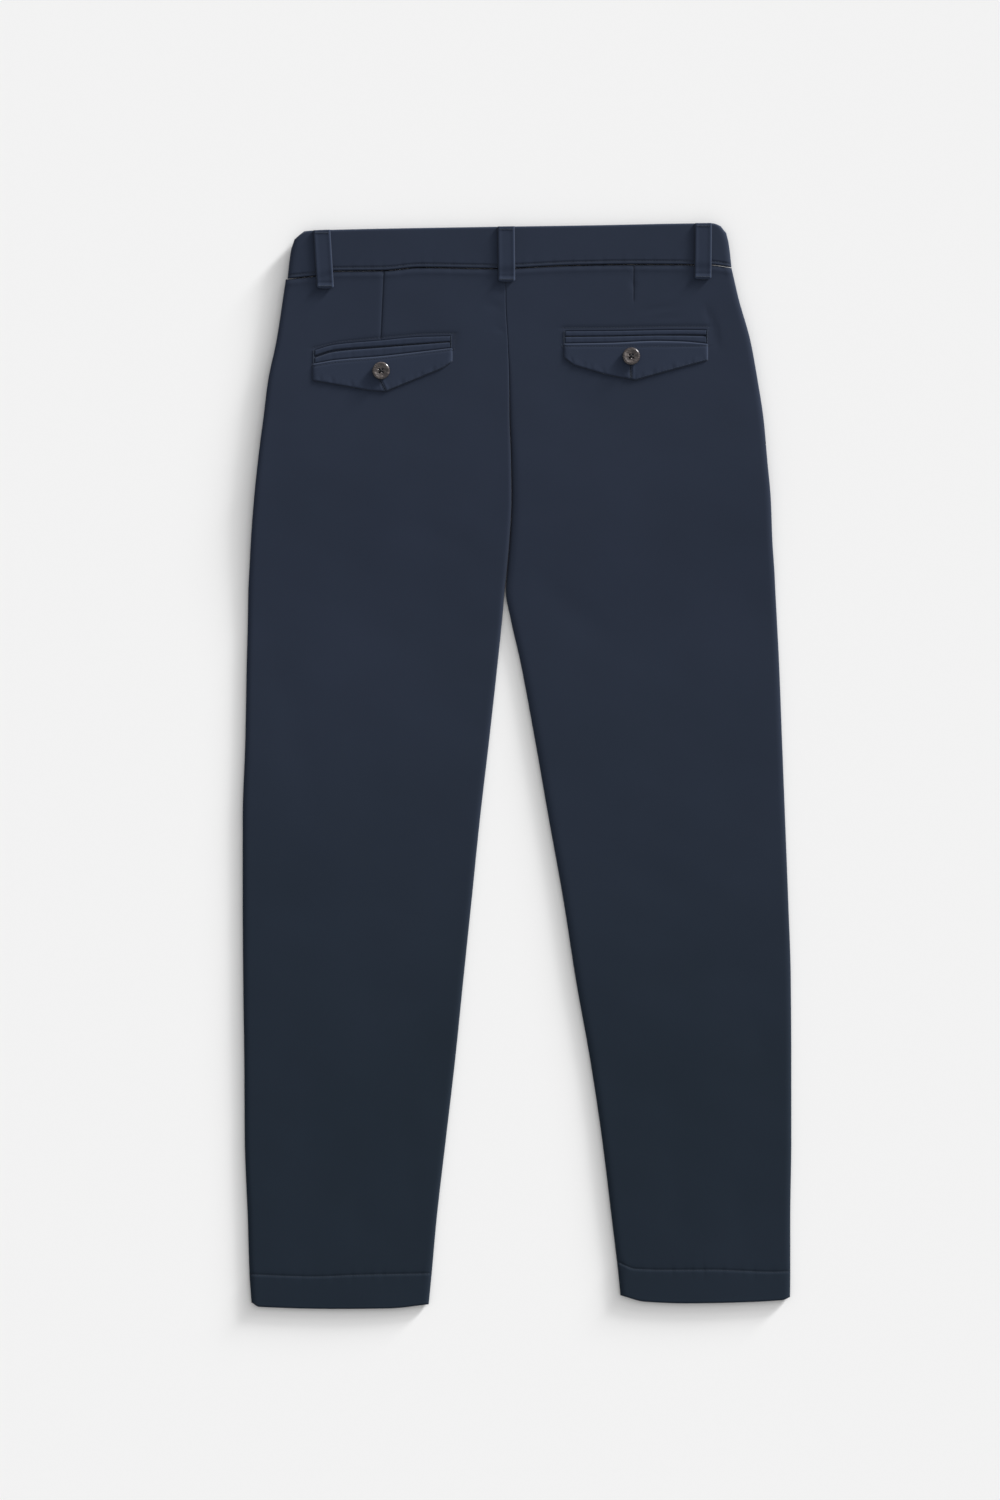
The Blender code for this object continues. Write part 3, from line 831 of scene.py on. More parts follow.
def make_cloth(name, hem, waist, ribs=1500.0, flecks=0.16, blotches=0.16):
    """Soft matt twill: woven ribs, uneven dye, painted shade and highlights, and a little nap."""
    material, tree, shader = new_material(name)
    place = add_node(tree, "UVMap", uv_map="cloth").outputs[0]
    weave = add_node(tree, "Group", node_tree=shared_group("Twill weave", make_weave_group))
    weave.inputs["Ribs per metre"].default_value = ribs
    tree.links.new(place, weave.inputs["Place"])
    dye_and_painted_shade = add_node(tree, "Group", node_tree=shared_group("Cloth dye and painted shade", make_dye_and_painted_shade_group))
    dye_and_painted_shade.inputs["Hem colour"].default_value = (*hem, 1.0)
    dye_and_painted_shade.inputs["Waist colour"].default_value = (*waist, 1.0)
    dye_and_painted_shade.inputs["Blotches"].default_value = blotches
    dye_and_painted_shade.inputs["Flecks"].default_value = flecks
    tree.links.new(place, dye_and_painted_shade.inputs["Place"])
    tree.links.new(weave.outputs["Yarn"], dye_and_painted_shade.inputs["Yarn"])
    bump = add_node(tree, "Bump", {"Strength": 0.5, "Distance": 0.00012})
    tree.links.new(weave.outputs["Height"], bump.inputs["Height"])
    tree.links.new(dye_and_painted_shade.outputs["Color"], shader.inputs["Base Color"])
    tree.links.new(dye_and_painted_shade.outputs["Roughness"], shader.inputs["Roughness"])
    tree.links.new(bump.outputs["Normal"], shader.inputs["Normal"])
    shader.inputs["Specular IOR Level"].default_value = 0.18
    shader.inputs["Sheen Weight"].default_value = 0.06
    shader.inputs["Sheen Roughness"].default_value = 0.5
    return material


def make_thread(name, colour):
    """Spun sewing thread, with painted shade darkening the hollows of its twist where its bump is low.
    """
    material, tree, shader = new_material(name)
    place = add_node(tree, "TexCoord").outputs["Object"]
    twist = add_node(
        tree, "TexNoise", {"Vector": place, "Scale": 2200.0, "Detail": 1.0}
    ).outputs[0]
    dark = tuple(c * 0.6 for c in colour) + (1.0,)
    tree.links.new(
        mix_colours(tree, twist, dark, (*colour, 1.0)), shader.inputs["Base Color"]
    )
    rough = add_math(tree, "MULTIPLY_ADD", twist, 0.2, 0.5)
    tree.links.new(rough, shader.inputs["Roughness"])
    bump = add_node(tree, "Bump", {"Strength": 0.4, "Distance": 0.00006, "Height": twist})
    tree.links.new(bump.outputs["Normal"], shader.inputs["Normal"])
    shader.inputs["Specular IOR Level"].default_value = 0.3
    return material


def make_horn(name, dark, light):
    """Polished marbled horn, with pale cloudy streaks and small scratches."""
    material, tree, shader = new_material(name)
    place = add_node(tree, "TexCoord").outputs["Object"]
    turned = add_node(
        tree, "Mapping", {"Vector": place, "Rotation": (0.0, 0.0, 0.7), "Scale": (1.0, 2.4, 1.0)}
    ).outputs[0]
    cloud = add_node(
        tree,
        "TexNoise",
        {"Vector": turned, "Scale": 190.0, "Detail": 4.0, "Roughness": 0.6, "Distortion": 1.4},
    ).outputs[0]
    share = add_node(
        tree, "MapRange", {"Value": cloud, "From Min": 0.48, "From Max": 0.72}
    ).outputs[0]
    colour = mix_colours(tree, share, (*dark, 1.0), (*light, 1.0))
    tree.links.new(colour, shader.inputs["Base Color"])
    scratch = add_node(
        tree, "TexNoise", {"Vector": place, "Scale": 900.0, "Detail": 3.0}
    ).outputs[0]
    rough = add_math(tree, "MULTIPLY_ADD", scratch, 0.25, 0.18)
    tree.links.new(rough, shader.inputs["Roughness"])
    bump = add_node(tree, "Bump", {"Strength": 0.15, "Distance": 0.00005, "Height": scratch})
    tree.links.new(bump.outputs["Normal"], shader.inputs["Normal"])
    shader.inputs["Coat Weight"].default_value = 0.5
    shader.inputs["Coat Roughness"].default_value = 0.15
    return material


def shared_group(name, maker):
    return bpy.data.node_groups.get(name) or maker()


def finish_of(context, name):
    """The finish of that name, made from the colours in the sidebar the first time it is used."""
    found = bpy.data.materials.get(name)
    if found:
        return found
    look = context.scene.trousers_finish
    hem, waist = tuple(look.hem_colour_with_painted_shade), tuple(look.waist_colour)
    brighter = [c * look.trim_lightness for c in waist]
    makers = {
        "navy_twill_cloth": lambda: make_cloth(name, hem, waist),
        "navy_twill_trim": lambda: make_cloth(name, brighter, brighter, blotches=0.1),
        "navy_thread": lambda: make_thread(name, tuple(look.thread_colour)),
        "dark_thread": lambda: make_thread(name, tuple(look.button_thread_colour)),
        "marbled_horn": lambda: make_horn(
            name, tuple(look.horn_colour), tuple(look.horn_streaks)
        ),
    }
    return makers[name]()


# --- Settings ---------------------------------------------------------------


class TrousersSizes(bpy.types.PropertyGroup):
    """Sizes of the sewing."""

    stitch_pitch: FloatProperty(
        name="Stitch pitch",
        description="Distance from one stitch to the next",
        default=0.0029,
        min=0.001,
        unit="LENGTH",
    )
    thread_width: FloatProperty(
        name="Thread width",
        description="Thickness of the top-stitching thread",
        default=0.00048,
        min=0.0001,
        unit="LENGTH",
    )


class TrousersFinish(bpy.types.PropertyGroup):
    """Colours of the cloth, the thread and the buttons."""

    # The hem colour is the waist's dye darkened by painted shade, not a different dye.
    hem_colour_with_painted_shade: FloatVectorProperty(
        name="Hem colour",
        description="Dye of the cloth at the hems",
        subtype="COLOR",
        default=(0.0078, 0.0150, 0.0262),
    )
    waist_colour: FloatVectorProperty(
        name="Waist colour",
        description="Dye of the cloth from the thighs to the waist",
        subtype="COLOR",
        default=(0.0154, 0.0226, 0.0418),
    )
    trim_lightness: FloatProperty(
        name="Trim lightness",
        description="How much lighter the loops, jets and patches are than the waist",
        default=1.12,
        min=0.5,
        max=2.0,
        subtype="FACTOR",
    )
    thread_colour: FloatVectorProperty(
        name="Thread colour",
        description="Top-stitching thread",
        subtype="COLOR",
        default=(0.030, 0.042, 0.066),
    )
    button_thread_colour: FloatVectorProperty(
        name="Button thread colour",
        description="Thread that holds the buttons",
        subtype="COLOR",
        default=(0.008, 0.009, 0.012),
    )
    horn_colour: FloatVectorProperty(
        name="Horn colour",
        description="Dark ground of the buttons",
        subtype="COLOR",
        default=(0.022, 0.016, 0.016),
    )
    horn_streaks: FloatVectorProperty(
        name="Horn streaks",
        description="Pale streaks in the buttons",
        subtype="COLOR",
        default=(0.16, 0.135, 0.125),
    )


class TrousersStage(bpy.types.PropertyGroup):
    """Light and floor."""

    floor_colour: FloatVectorProperty(
        name="Floor colour",
        description="Plain pale floor",
        subtype="COLOR",
        default=(0.898, 0.898, 0.898),
    )
    sky_strength: FloatProperty(
        name="Sky strength",
        description="Even light from all sides",
        default=0.52,
        min=0.0,
    )
    key_strength: FloatProperty(
        name="Key strength",
        description="Scale of the low lamps at the upper right",
        default=1.0,
        min=0.0,
    )


# --- Operators --------------------------------------------------------------


class TROUSERS_OT_back_panels(bpy.types.Operator):
    """Back panels, each a seat and leg in one, with rolled edges, hem, dart and soft creases."""

    bl_idname = "trousers.back_panels"
    bl_label = "Back panels"

    def execute(self, context):
        finish = finish_of(context, "navy_twill_cloth")
        for panel in PANELS:
            x, y = woven_grid(*back_panel_lines(panel))
            z = back_height(panel, x, y)
            cloth_piece(
                "back_panel_" + panel.side,
                x,
                y,
                z,
                finish,
                ["back_" + panel.side],
                painted_light_and_wear=back_painted_shade_and_wear(panel, x, y),
            )
        return {"FINISHED"}


def back_panel_lines(panel):
    """Curves and lines that a back panel's grid follows, with the steps between them."""
    pocket = panel.pocket
    rows = [
        panel.hem,
        shifted(panel.hem, 2.4),
        shifted(panel.hem_sewn, -2.5),
        shifted(panel.hem_sewn, 3.0),
        level(-440),
        level(300),
        shifted(pocket_curve(pocket, "bottom"), -16),
        pocket_curve(pocket, "bottom"),
        pocket_curve(pocket, "top"),
        shifted(pocket_curve(pocket, "top"), 4),
        shifted(waist_seam, -8),
        shifted(waist_seam, -2.6),
        shifted(waist_seam, -0.3),
    ]
    row_counts = [6, 9, 8, 12, 200, 28, 12, 10, 4, 18, 6, 5]
    (top_x, top_y), (low_x, low_y) = panel.dart
    middle = between(panel.outer, panel.inner, 0.5)
    dart_lean = line_through([(low_y, low_x), (top_y, top_x)])
    dart = lambda y: middle(y) + (dart_lean(y) - middle(y)) * ease(y, -100, 380)
    first, last = pocket.stations[0].x, pocket.stations[-1].x
    near, far = (first, last) if panel.turn > 0 else (last, first)
    near_line = between(panel.outer, dart, 0.4)
    far_line = between(panel.inner, dart, 0.5)
    pocket_near = lambda y: near_line(y) + (near - near_line(y)) * ease(y, 0, 360)
    pocket_far = lambda y: far_line(y) + (far - far_line(y)) * ease(y, 0, 360)
    turn = panel.turn
    columns = [
        panel.outer,
        shifted(panel.outer, 0.25 * turn),
        shifted(panel.outer, 1.2 * turn),
        shifted(panel.outer, EDGE_ROLL * turn),
        shifted(pocket_near, -1.0 * turn),
        shifted(pocket_near, 1.0 * turn),
        shifted(dart, -1.4 * turn),
        shifted(dart, 1.4 * turn),
        shifted(pocket_far, -1.0 * turn),
        shifted(pocket_far, 1.0 * turn),
        shifted(panel.inner, -10 * turn),
        shifted(panel.inner, -4 * turn),
        shifted(panel.inner, -1.2 * turn),
        shifted(panel.inner, -0.3 * turn),
        panel.inner,
    ]
    column_counts = [1, 3, 6, 9, 3, 22, 6, 22, 3, 12, 4, 4, 2, 1]
    if turn < 0:
        columns.reverse()
        column_counts.reverse()
    return rows, row_counts, columns, column_counts


def back_painted_shade_and_wear(panel, x, y):
    """Painted shade darkening the dart, the waist seam, the centre seam, the hem's sewn row and the
    pocket's sewn outline, and paler cloth where the hem edge rubs.
    """
    dart = path_distance(panel.dart, x, y)
    seam = panel.turn * (panel.inner(y) - x)
    below = waist_seam(x) - y
    painted_light_and_wear = -0.35 * dip(dart, 0.7) - 0.4 * dip(below, 1.2)
    painted_light_and_wear = painted_light_and_wear - 0.35 * dip(seam, 1.6) * ease(y, 150, 190) * (1 - ease(y, 320, 400))
    painted_light_and_wear = painted_light_and_wear - 0.3 * dip(y - panel.hem_sewn(x) - 0.4, 0.9)
    painted_light_and_wear = painted_light_and_wear + 0.08 * dip(y - panel.hem(x), 2.5)
    box = path_distance(panel.pocket.box, x, y)
    return painted_light_and_wear - 0.2 * dip(box, 0.8)


class TROUSERS_OT_front_panels(bpy.types.Operator):
    """Front panels, which look down at the floor, cut away at their slant pockets."""

    bl_idname = "trousers.front_panels"
    bl_label = "Front panels"

    def execute(self, context):
        finish = finish_of(context, "navy_twill_cloth")
        for panel in PANELS:
            turn = panel.turn
            edge = front_edge(panel)
            rows = [
                panel.hem,
                shifted(panel.hem, 2.4),
                shifted(panel.hem_sewn, -2.5),
                shifted(panel.hem_sewn, 3.0),
                level(-440),
                level(330),
                shifted(waist_seam, -6),
                shifted(waist_seam, -0.3),
            ]
            columns = [
                edge,
                shifted(edge, 1.2 * turn),
                shifted(edge, EDGE_ROLL * turn),
                shifted(panel.inner, -8 * turn),
                shifted(panel.inner, -1.2 * turn),
                panel.inner,
            ]
            row_counts = [4, 6, 5, 8, 150, 34, 6]
            column_counts = [3, 5, 48, 5, 3]
            if turn < 0:
                columns.reverse()
                column_counts.reverse()
            x, y = woven_grid(rows, row_counts, columns, column_counts)
            # Painted shade darkens the front panel along the hem's sewn row.
            cloth_piece(
                "front_panel_" + panel.side,
                x,
                y,
                front_height(panel, x, y),
                finish,
                ["front_" + panel.side],
                face=-1,
                painted_light_and_wear=-0.25 * dip(y - panel.hem_sewn(x), 0.9),
            )
        return {"FINISHED"}


def front_edge(panel):
    """Side of a front panel: the side seam, and above it the slant pocket's mouth."""

    def edge(y):
        mouth = line_through_y(FRONT_MOUTHS[panel.side], y)
        choose = np.maximum if panel.turn > 0 else np.minimum
        return choose(panel.outer(y), mouth)

    return edge


class TROUSERS_OT_front_pockets(bpy.types.Operator):
    """Slant-pocket facings and the fly piece on the front."""

    bl_idname = "trousers.front_pockets"
    bl_label = "Front pockets and fly"

    def execute(self, context):
        finish = finish_of(context, "navy_twill_cloth")
        for panel in PANELS:
            self.add_facing(panel, finish)
        add_fly(finish_of(context, "navy_twill_trim"))
        return {"FINISHED"}

    def add_facing(self, panel, finish):
        turn = panel.turn
        mouth = lambda y: line_through_y(FRONT_MOUTHS[panel.side], y)
        inner = lambda y: mouth(y) + 6 * turn
        columns = [
            panel.outer,
            shifted(panel.outer, 1.2 * turn),
            between(panel.outer, inner, 0.3),
            inner,
        ]
        counts = [3, 4, 16]
        if turn < 0:
            columns.reverse()
            counts.reverse()
        rows = [level(312), shifted(waist_seam, -6), shifted(waist_seam, -0.3)]
        x, y = woven_grid(rows, [50, 4], columns, counts)
        outer = turn * (x - panel.outer(y))
        z = lift(y) + (LEG_THICKNESS / 2 - MIDDLE_GAP) * fall(outer, EDGE_ROLL)
        under = turn * (x - mouth(y))
        z = z + 1.1 * ease(under, -2.5, 1.5) + 0.6 * fall(waist_seam(x) - y, 2.4)
        name = "front_pocket_facing_" + panel.side
        cloth_piece("slant_facing_" + panel.side, x, y, z, finish, [name], face=-1)


def fly_left(y):
    """Outer edge of the fly piece: straight, then curving in to its foot."""
    t = np.clip((FLY_CURVE - y) / (FLY_CURVE - FLY_BOTTOM), 0, 1)
    return FLY_EDGE_X - FLY_WIDTH * np.sqrt(np.clip(1 - t * t, 0.004, 1))


def fly_height(x, y):
    z = np.full(np.shape(x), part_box("fly")[0].z / MM)
    edge = np.minimum(x - fly_left(y), FLY_EDGE_X - x)
    return z + 0.8 * fall(edge, 1.4)


def add_fly(finish):
    rows = [level(FLY_BOTTOM), level(FLY_CURVE), shifted(waist_seam, -0.6)]
    columns = [
        fly_left,
        shifted(fly_left, 1.6),
        level(FLY_EDGE_X - 1.4),
        level(FLY_EDGE_X),
    ]
    columns[1] = between(fly_left, level(FLY_EDGE_X), 0.05)
    columns[2] = between(fly_left, level(FLY_EDGE_X), 0.95)
    x, y = woven_grid(rows, [16, 40], columns, [3, 14, 3])
    cloth_piece("fly_piece", x, y, fly_height(x, y), finish, ["fly"], face=-1)


class TROUSERS_OT_waistband(bpy.types.Operator):
    """Waistband: one length across the back and two that meet on the front."""

    bl_idname = "trousers.waistband"
    bl_label = "Waistband"

    def execute(self, context):
        finish = finish_of(context, "navy_twill_cloth")
        lengths = [
            ("waistband_length_back", "waistband_back", None, None, 1),
            ("waistband_length_front_left", "waistband_front_left", None, BAND_SPLIT, -1),
            ("waistband_length_front_right", "waistband_front_right", BAND_SPLIT + 0.3, None, -1),
        ]
        for name, node, left, right, face in lengths:
            x, y = band_grid(left, right)
            z = band_height(x, y) if face > 0 else band_front_height(x, y)
            up = y - waist_seam(x)
            # Painted shade along the sewn row and the seam under the band, and a paler folded top edge
            # from wear.
            painted_light_and_wear = -0.3 * dip(up - 3.6, 0.8) - 0.3 * dip(up, 0.9) + 0.06 * dip(waist_top(x) - y, 2)
            cloth_piece(name, x, y, z, finish, [node], face=face, painted_light_and_wear=painted_light_and_wear)
        return {"FINISHED"}


def band_grid(left, right):
    """Places over the waistband, or over the part of it from left to right."""
    rise_counts = [5, 3, 6, 12, 5]
    rises = [0.0, 0.04, 0.07, 0.16, 0.93, 1.0]
    row, up = steps_of(rise_counts)
    rises = np.array(rises)
    t = (rises[row] + (rises[row + 1] - rises[row]) * up)[:, None]
    start = band_left(t) if left is None else np.full(t.shape, left)
    end = band_right(t) if right is None else np.full(t.shape, right)
    steps = np.array([0, 0.2, 0.6, 1.2, 2, 3, 4.4, 6.5])
    count = int((float(end.max()) - float(start.min())) / 2.1)
    middle = np.linspace(0, 1, count)[None, 1:-1]
    inner_start, inner_end = start + steps[-1], end - steps[-1]
    x = np.concatenate(
        [start + steps[None], inner_start + (inner_end - inner_start) * middle, end - steps[None, ::-1]],
        axis=1,
    )
    low = waist_seam(x) + 0.45
    return x, low + (waist_top(x) - low) * t


class TROUSERS_OT_belt_loops(bpy.types.Operator):
    """Five belt loops, each a folded strip that runs over the waistband and is turned under."""

    bl_idname = "trousers.belt_loops"
    bl_label = "Belt loops"

    def execute(self, context):
        finish = finish_of(context, "navy_twill_trim")
        for loop in LOOPS:
            x, y = loop_grid(loop)
            cloth_piece(
                "sewn_" + loop.name,
                x,
                y,
                loop_height(loop, x, y),
                finish,
                [loop.name],
                face=loop.face,
                painted_light_and_wear=loop_painted_light_and_wear(loop, x, y),
            )
        return {"FINISHED"}


def loop_middle(loop, y):
    top = float(waist_top(loop.top_x))
    return loop.bottom_x + (loop.top_x - loop.bottom_x) * (y - loop.bottom_y) / (top - loop.bottom_y)


def loop_grid(loop):
    """Places over a loop: a strip with rounded lower corners."""
    top = float(waist_top(loop.top_x))
    rise = np.concatenate([[0, 0.3, 0.8, 1.5, 2.3, 3.2], np.arange(4.2, 13.1, 1.1)])
    rise = np.concatenate([rise, np.linspace(14, top - loop.bottom_y - 3, 18)])
    rise = np.concatenate([rise, top - loop.bottom_y - np.array([2, 1.1, 0.4, 0])])
    y = (loop.bottom_y + rise)[:, None]
    across = np.array([0, 0.25, 0.7, 1.3, 2.1, 3.2, 5.0, 7.0])
    across = np.concatenate([across, [LOOP_WIDTH / 2], (LOOP_WIDTH - across)[::-1]])[None]
    corner = 2.6
    t = np.clip(1 - rise / corner, 0, 1)
    narrow = (corner * (1 - np.sqrt(np.clip(1 - t * t, 0, 1))))[:, None] * 0.8
    share = across / LOOP_WIDTH * 2 - 1
    half = LOOP_WIDTH / 2 - narrow
    x = loop_middle(loop, y) + share * half
    y = np.broadcast_to(y, x.shape) - 0.8 * (1 - share**2) * (1 - ease(rise, 0, 9))[:, None]
    slope = (waist_top(x) - top) * ease(rise, 30, 52)[:, None]
    return x, y + slope


def loop_height(loop, x, y):
    """Face of a loop: it steps from the panel to the waistband and has soft rounded edges."""
    seam = waist_seam(x)
    step = ease(y - seam, -4.5, 3.5)
    low = LEG_THICKNESS + SEAT_LIFT if loop.face > 0 else SEAT_LIFT
    middle = loop_middle(loop, y)
    off = LOOP_WIDTH / 2 - np.abs(x - middle)
    up = y - loop.bottom_y
    raised = 1.75 + 0.25 * dip(off - 1.6, 1.2) + 0.3 * dip(up - 2.0, 1.6)
    raised = raised - 0.25 * dip(up - 5.2, 1.1)
    raised = raised - 1.5 * fall(off, 1.3) - 1.5 * fall(up + 0.8, 1.8)
    raised = raised - 1.2 * fall(waist_top(x) - y + 0.3, 1.8)
    return low + loop.face * (BAND_PROUD * step + raised)


# Paler loop edges and folded lower end, partly painted highlight and partly rubbed wear; painted shade
# on the very edges.
def loop_painted_light_and_wear(loop, x, y):
    middle = loop_middle(loop, y)
    off = LOOP_WIDTH / 2 - np.abs(x - middle)
    up = y - loop.bottom_y
    return 0.16 * dip(off - 0.9, 0.9) + 0.3 * dip(up - 1.8, 0.9) - 0.25 * dip(off, 0.4)


class TROUSERS_OT_back_pockets(bpy.types.Operator):
    """Back pockets: two jets in each opening and the pointed patch below it."""

    bl_idname = "trousers.back_pockets"
    bl_label = "Back pockets"

    def execute(self, context):
        finish = finish_of(context, "navy_twill_trim")
        for panel in PANELS:
            pocket = panel.pocket
            mouth = pocket_curve(pocket, "mouth")
            gap = pocket_curve(pocket, "gap")
            lower = lambda x: mouth(x) - gap(x) / 2
            upper = lambda x: mouth(x) + gap(x) / 2
            bottom = shifted(pocket_curve(pocket, "bottom"), 0.15)
            top = shifted(pocket_curve(pocket, "top"), -0.35)
            self.add_jet(panel, "upper", upper, top, finish)
            self.add_jet(panel, "lower", bottom, lower, finish)
            add_patch(panel, finish)
        return {"FINISHED"}

    def add_jet(self, panel, which, low, high, finish):
        pocket = panel.pocket
        first, last = pocket.stations[0].x + 0.2, pocket.stations[-1].x - 0.2
        shares = np.array([0, 0.04, 0.1, 0.2, 0.35, 0.5, 0.65, 0.8, 0.9, 0.96, 1])[:, None]
        x = np.broadcast_to(np.linspace(first, last, 90)[None], (len(shares), 90))
        y = low(x) + (high(x) - low(x)) * shares
        edge = np.minimum(y - low(x), high(x) - y)
        z = panel_base(panel, x, y) + 0.15 - 1.2 * fall(edge, 1.5)
        z = z + 0.05 * waves_at(SEAM_RIPPLES, x, y)
        # Painted shade where each jet turns down at its edges, and a paler rubbed lip just inside them.
        painted_light_and_wear = -0.25 * dip(edge, 0.5) + 0.06 * dip(edge - 1.6, 1.0)
        node = f"pocket_jet_{which}_{panel.side}"
        cloth_piece(f"jet_{which}_{panel.side}", x, y, z, finish, [node], painted_light_and_wear=painted_light_and_wear)


def patch_low(pocket):
    return line_through(pocket.patch)


def patch_high(pocket):
    bottom = pocket_curve(pocket, "bottom")
    return lambda x: bottom(x) - 0.3


def patch_height(panel, x, y):
    """Face of a pocket patch: full at its pointed lower edge, thin where it meets the panel."""
    pocket = panel.pocket
    low, high = patch_low(pocket)(x), patch_high(pocket)(x)
    first, last = pocket.patch[0][0], pocket.patch[-1][0]
    raised = 1.15 - 0.95 * fall(y - low, 1.6) - 0.7 * fall(high - y, 1.5)
    raised = raised - 0.9 * fall(np.minimum(x - first, last - x), 5)
    raised = raised + 0.12 * waves_at(SEAM_RIPPLES, x, y) * dip(y - low - 3, 3)
    raised = raised - 0.25 * dip(path_distance(pocket.box, x, y), 1.0)
    raised = raised - 0.55 * dip(path_distance(pocket.slit, x, y), 0.9)
    raised = raised + 0.3 * dip(path_distance(pocket.slit, x, y) - 2.0, 1.2)
    return panel_base(panel, x, y) + raised


def add_patch(panel, finish):
    pocket = panel.pocket
    first, last = pocket.patch[0][0], pocket.patch[-1][0]
    kinks = [first, *(x for x, _ in pocket.patch[1:-1]), pocket.slit[0][0], last]
    x_line = np.unique(np.concatenate([np.linspace(first, last, 110), kinks]))
    rises = np.concatenate([[0, 0.02, 0.05, 0.09], np.linspace(0.14, 0.9, 20), [0.94, 0.97, 1]])
    x = np.broadcast_to(x_line[None], (len(rises), len(x_line)))
    low, high = patch_low(pocket)(x), patch_high(pocket)(x)
    y = low + (high - low) * rises[:, None]
    # A touch lighter overall, with painted shade along the pointed lower edge, the buttonhole's slit and
    # the sewn outline.
    painted_light_and_wear = 0.04 - 0.3 * dip(y - low, 0.8)
    painted_light_and_wear = painted_light_and_wear - 0.35 * dip(path_distance(pocket.slit, x, y), 0.7)
    painted_light_and_wear = painted_light_and_wear - 0.15 * dip(path_distance(pocket.box, x, y), 0.8)
    node = "pocket_patch_" + panel.side
    z = patch_height(panel, x, y)
    cloth_piece("pointed_patch_" + panel.side, x, y, z, finish, [node], painted_light_and_wear=painted_light_and_wear)


class TROUSERS_OT_buttons(bpy.types.Operator):
    """Four-hole horn buttons with crossed threads: one on each back pocket, one at the waist."""

    bl_idname = "trousers.buttons"
    bl_label = "Buttons"

    def execute(self, context):
        horn = finish_of(context, "marbled_horn")
        thread = finish_of(context, "dark_thread")
        for node, turn in (
            ("pocket_button_left", 5.0),
            ("pocket_button_right", 1.0),
            ("waist_button", 0.0),
        ):
            self.add_button(node, turn, horn, thread)
        return {"FINISHED"}

    def add_button(self, node, turn, horn, thread):
        low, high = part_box(node)
        middle = (low + high) / 2
        down = node == "waist_button"
        base = Vector((middle.x, middle.y, high.z if down else low.z))
        place = Matrix.Translation(base) @ Matrix.Rotation(np.radians(turn), 4, "Z")
        if down:
            place = place @ Matrix.Rotation(np.pi, 4, "X")
        bm = turned_button()
        bmesh.ops.transform(bm, matrix=place, verts=bm.verts)
        new_piece("horn_" + node, bm, horn, [node])
        bm = crossed_threads()
        bmesh.ops.transform(bm, matrix=place, verts=bm.verts)
        new_piece("cross_threads_" + node, bm, thread)


def turned_button():
    """Button turned from its profile, with a raised rim and four holes cut through."""
    bm = bmesh.new()
    ring = [bm.verts.new((r * MM, 0, z * MM)) for r, z in BUTTON_PROFILE]
    edges = [bm.edges.new(pair) for pair in zip(ring, ring[1:])]
    bmesh.ops.spin(
        bm,
        geom=ring + edges,
        cent=(0, 0, 0),
        axis=(0, 0, 1),
        angle=2 * np.pi,
        steps=BUTTON_STEPS,
        use_merge=True,
    )
    bmesh.ops.remove_doubles(bm, verts=bm.verts, dist=0.00001)
    bmesh.ops.recalc_face_normals(bm, faces=bm.faces)
    body = scratch_object("button_body", bm)
    drill = bmesh.new()
    for x in (-HOLE_SPACING / 2, HOLE_SPACING / 2):
        for y in (-HOLE_SPACING / 2, HOLE_SPACING / 2):
            bmesh.ops.create_cone(
                drill,
                cap_ends=True,
                segments=16,
                radius1=HOLE_RADIUS * MM,
                radius2=HOLE_RADIUS * MM,
                depth=8 * MM,
                matrix=Matrix.Translation((x * MM, y * MM, MM)),
            )
    cutter = scratch_object("button_drill", drill)
    cut = body.modifiers.new("holes", "BOOLEAN")
    cut.object = cutter
    cut.operation = "DIFFERENCE"
    cut.solver = "EXACT"
    graph = bpy.context.evaluated_depsgraph_get()
    finished = bmesh.new()
    finished.from_mesh(body.evaluated_get(graph).to_mesh())
    for scratch in (body, cutter):
        bpy.data.objects.remove(scratch)
    for polygon in finished.faces:
        polygon.smooth = abs(polygon.normal.z) > 0.02 or polygon.calc_center_median().xy.length > 6 * MM
    return finished


def scratch_object(name, bm):
    mesh = bpy.data.meshes.new(name)
    bm.to_mesh(mesh)
    bm.free()
    made = bpy.data.objects.new(name, mesh)
    bpy.context.scene.collection.objects.link(made)
    return made


def crossed_threads():
    """Two crossed bundles of thread over a button's four holes."""
    bm = bmesh.new()
    half = HOLE_SPACING / 2
    for sign, raise_by in ((1, 0.0), (-1, 0.35)):
        for shift in (-0.42, 0.0, 0.42):
            along = np.array([1.0, sign]) / np.sqrt(2)
            side = np.array([-along[1], along[0]]) * shift
            knots = [(-1.0, 0.9), (-0.72, 1.95), (0.0, 2.2 + raise_by), (0.72, 1.95), (1.0, 0.9)]
            reach = half * np.sqrt(2)
            points = [(*(along * reach * t + side), z) for t, z in knots]
            for start, end in zip(points, points[1:]):
                bead(bm, start, end, 0.5, 0.5)
    return bm


class TROUSERS_OT_stitching(bpy.types.Operator):
    """Top-stitching, tacks and buttonholes, made as joined meshes of short threads."""

    bl_idname = "trousers.stitching"
    bl_label = "Stitching"

    def execute(self, context):
        sizes = context.scene.trousers_sizes
        finish = finish_of(context, "navy_thread")
        new_piece("stitching_hems", hem_stitches(sizes), finish)
        new_piece("stitching_waist", waist_stitches(sizes), finish)
        new_piece("stitching_pockets", pocket_stitches(sizes), finish)
        new_piece("stitching_front", front_stitches(sizes), finish)
        new_piece("tacks_loops", loop_tacks(sizes), finish)
        new_piece("buttonholes", buttonhole_stitches(sizes), finish)
        return {"FINISHED"}


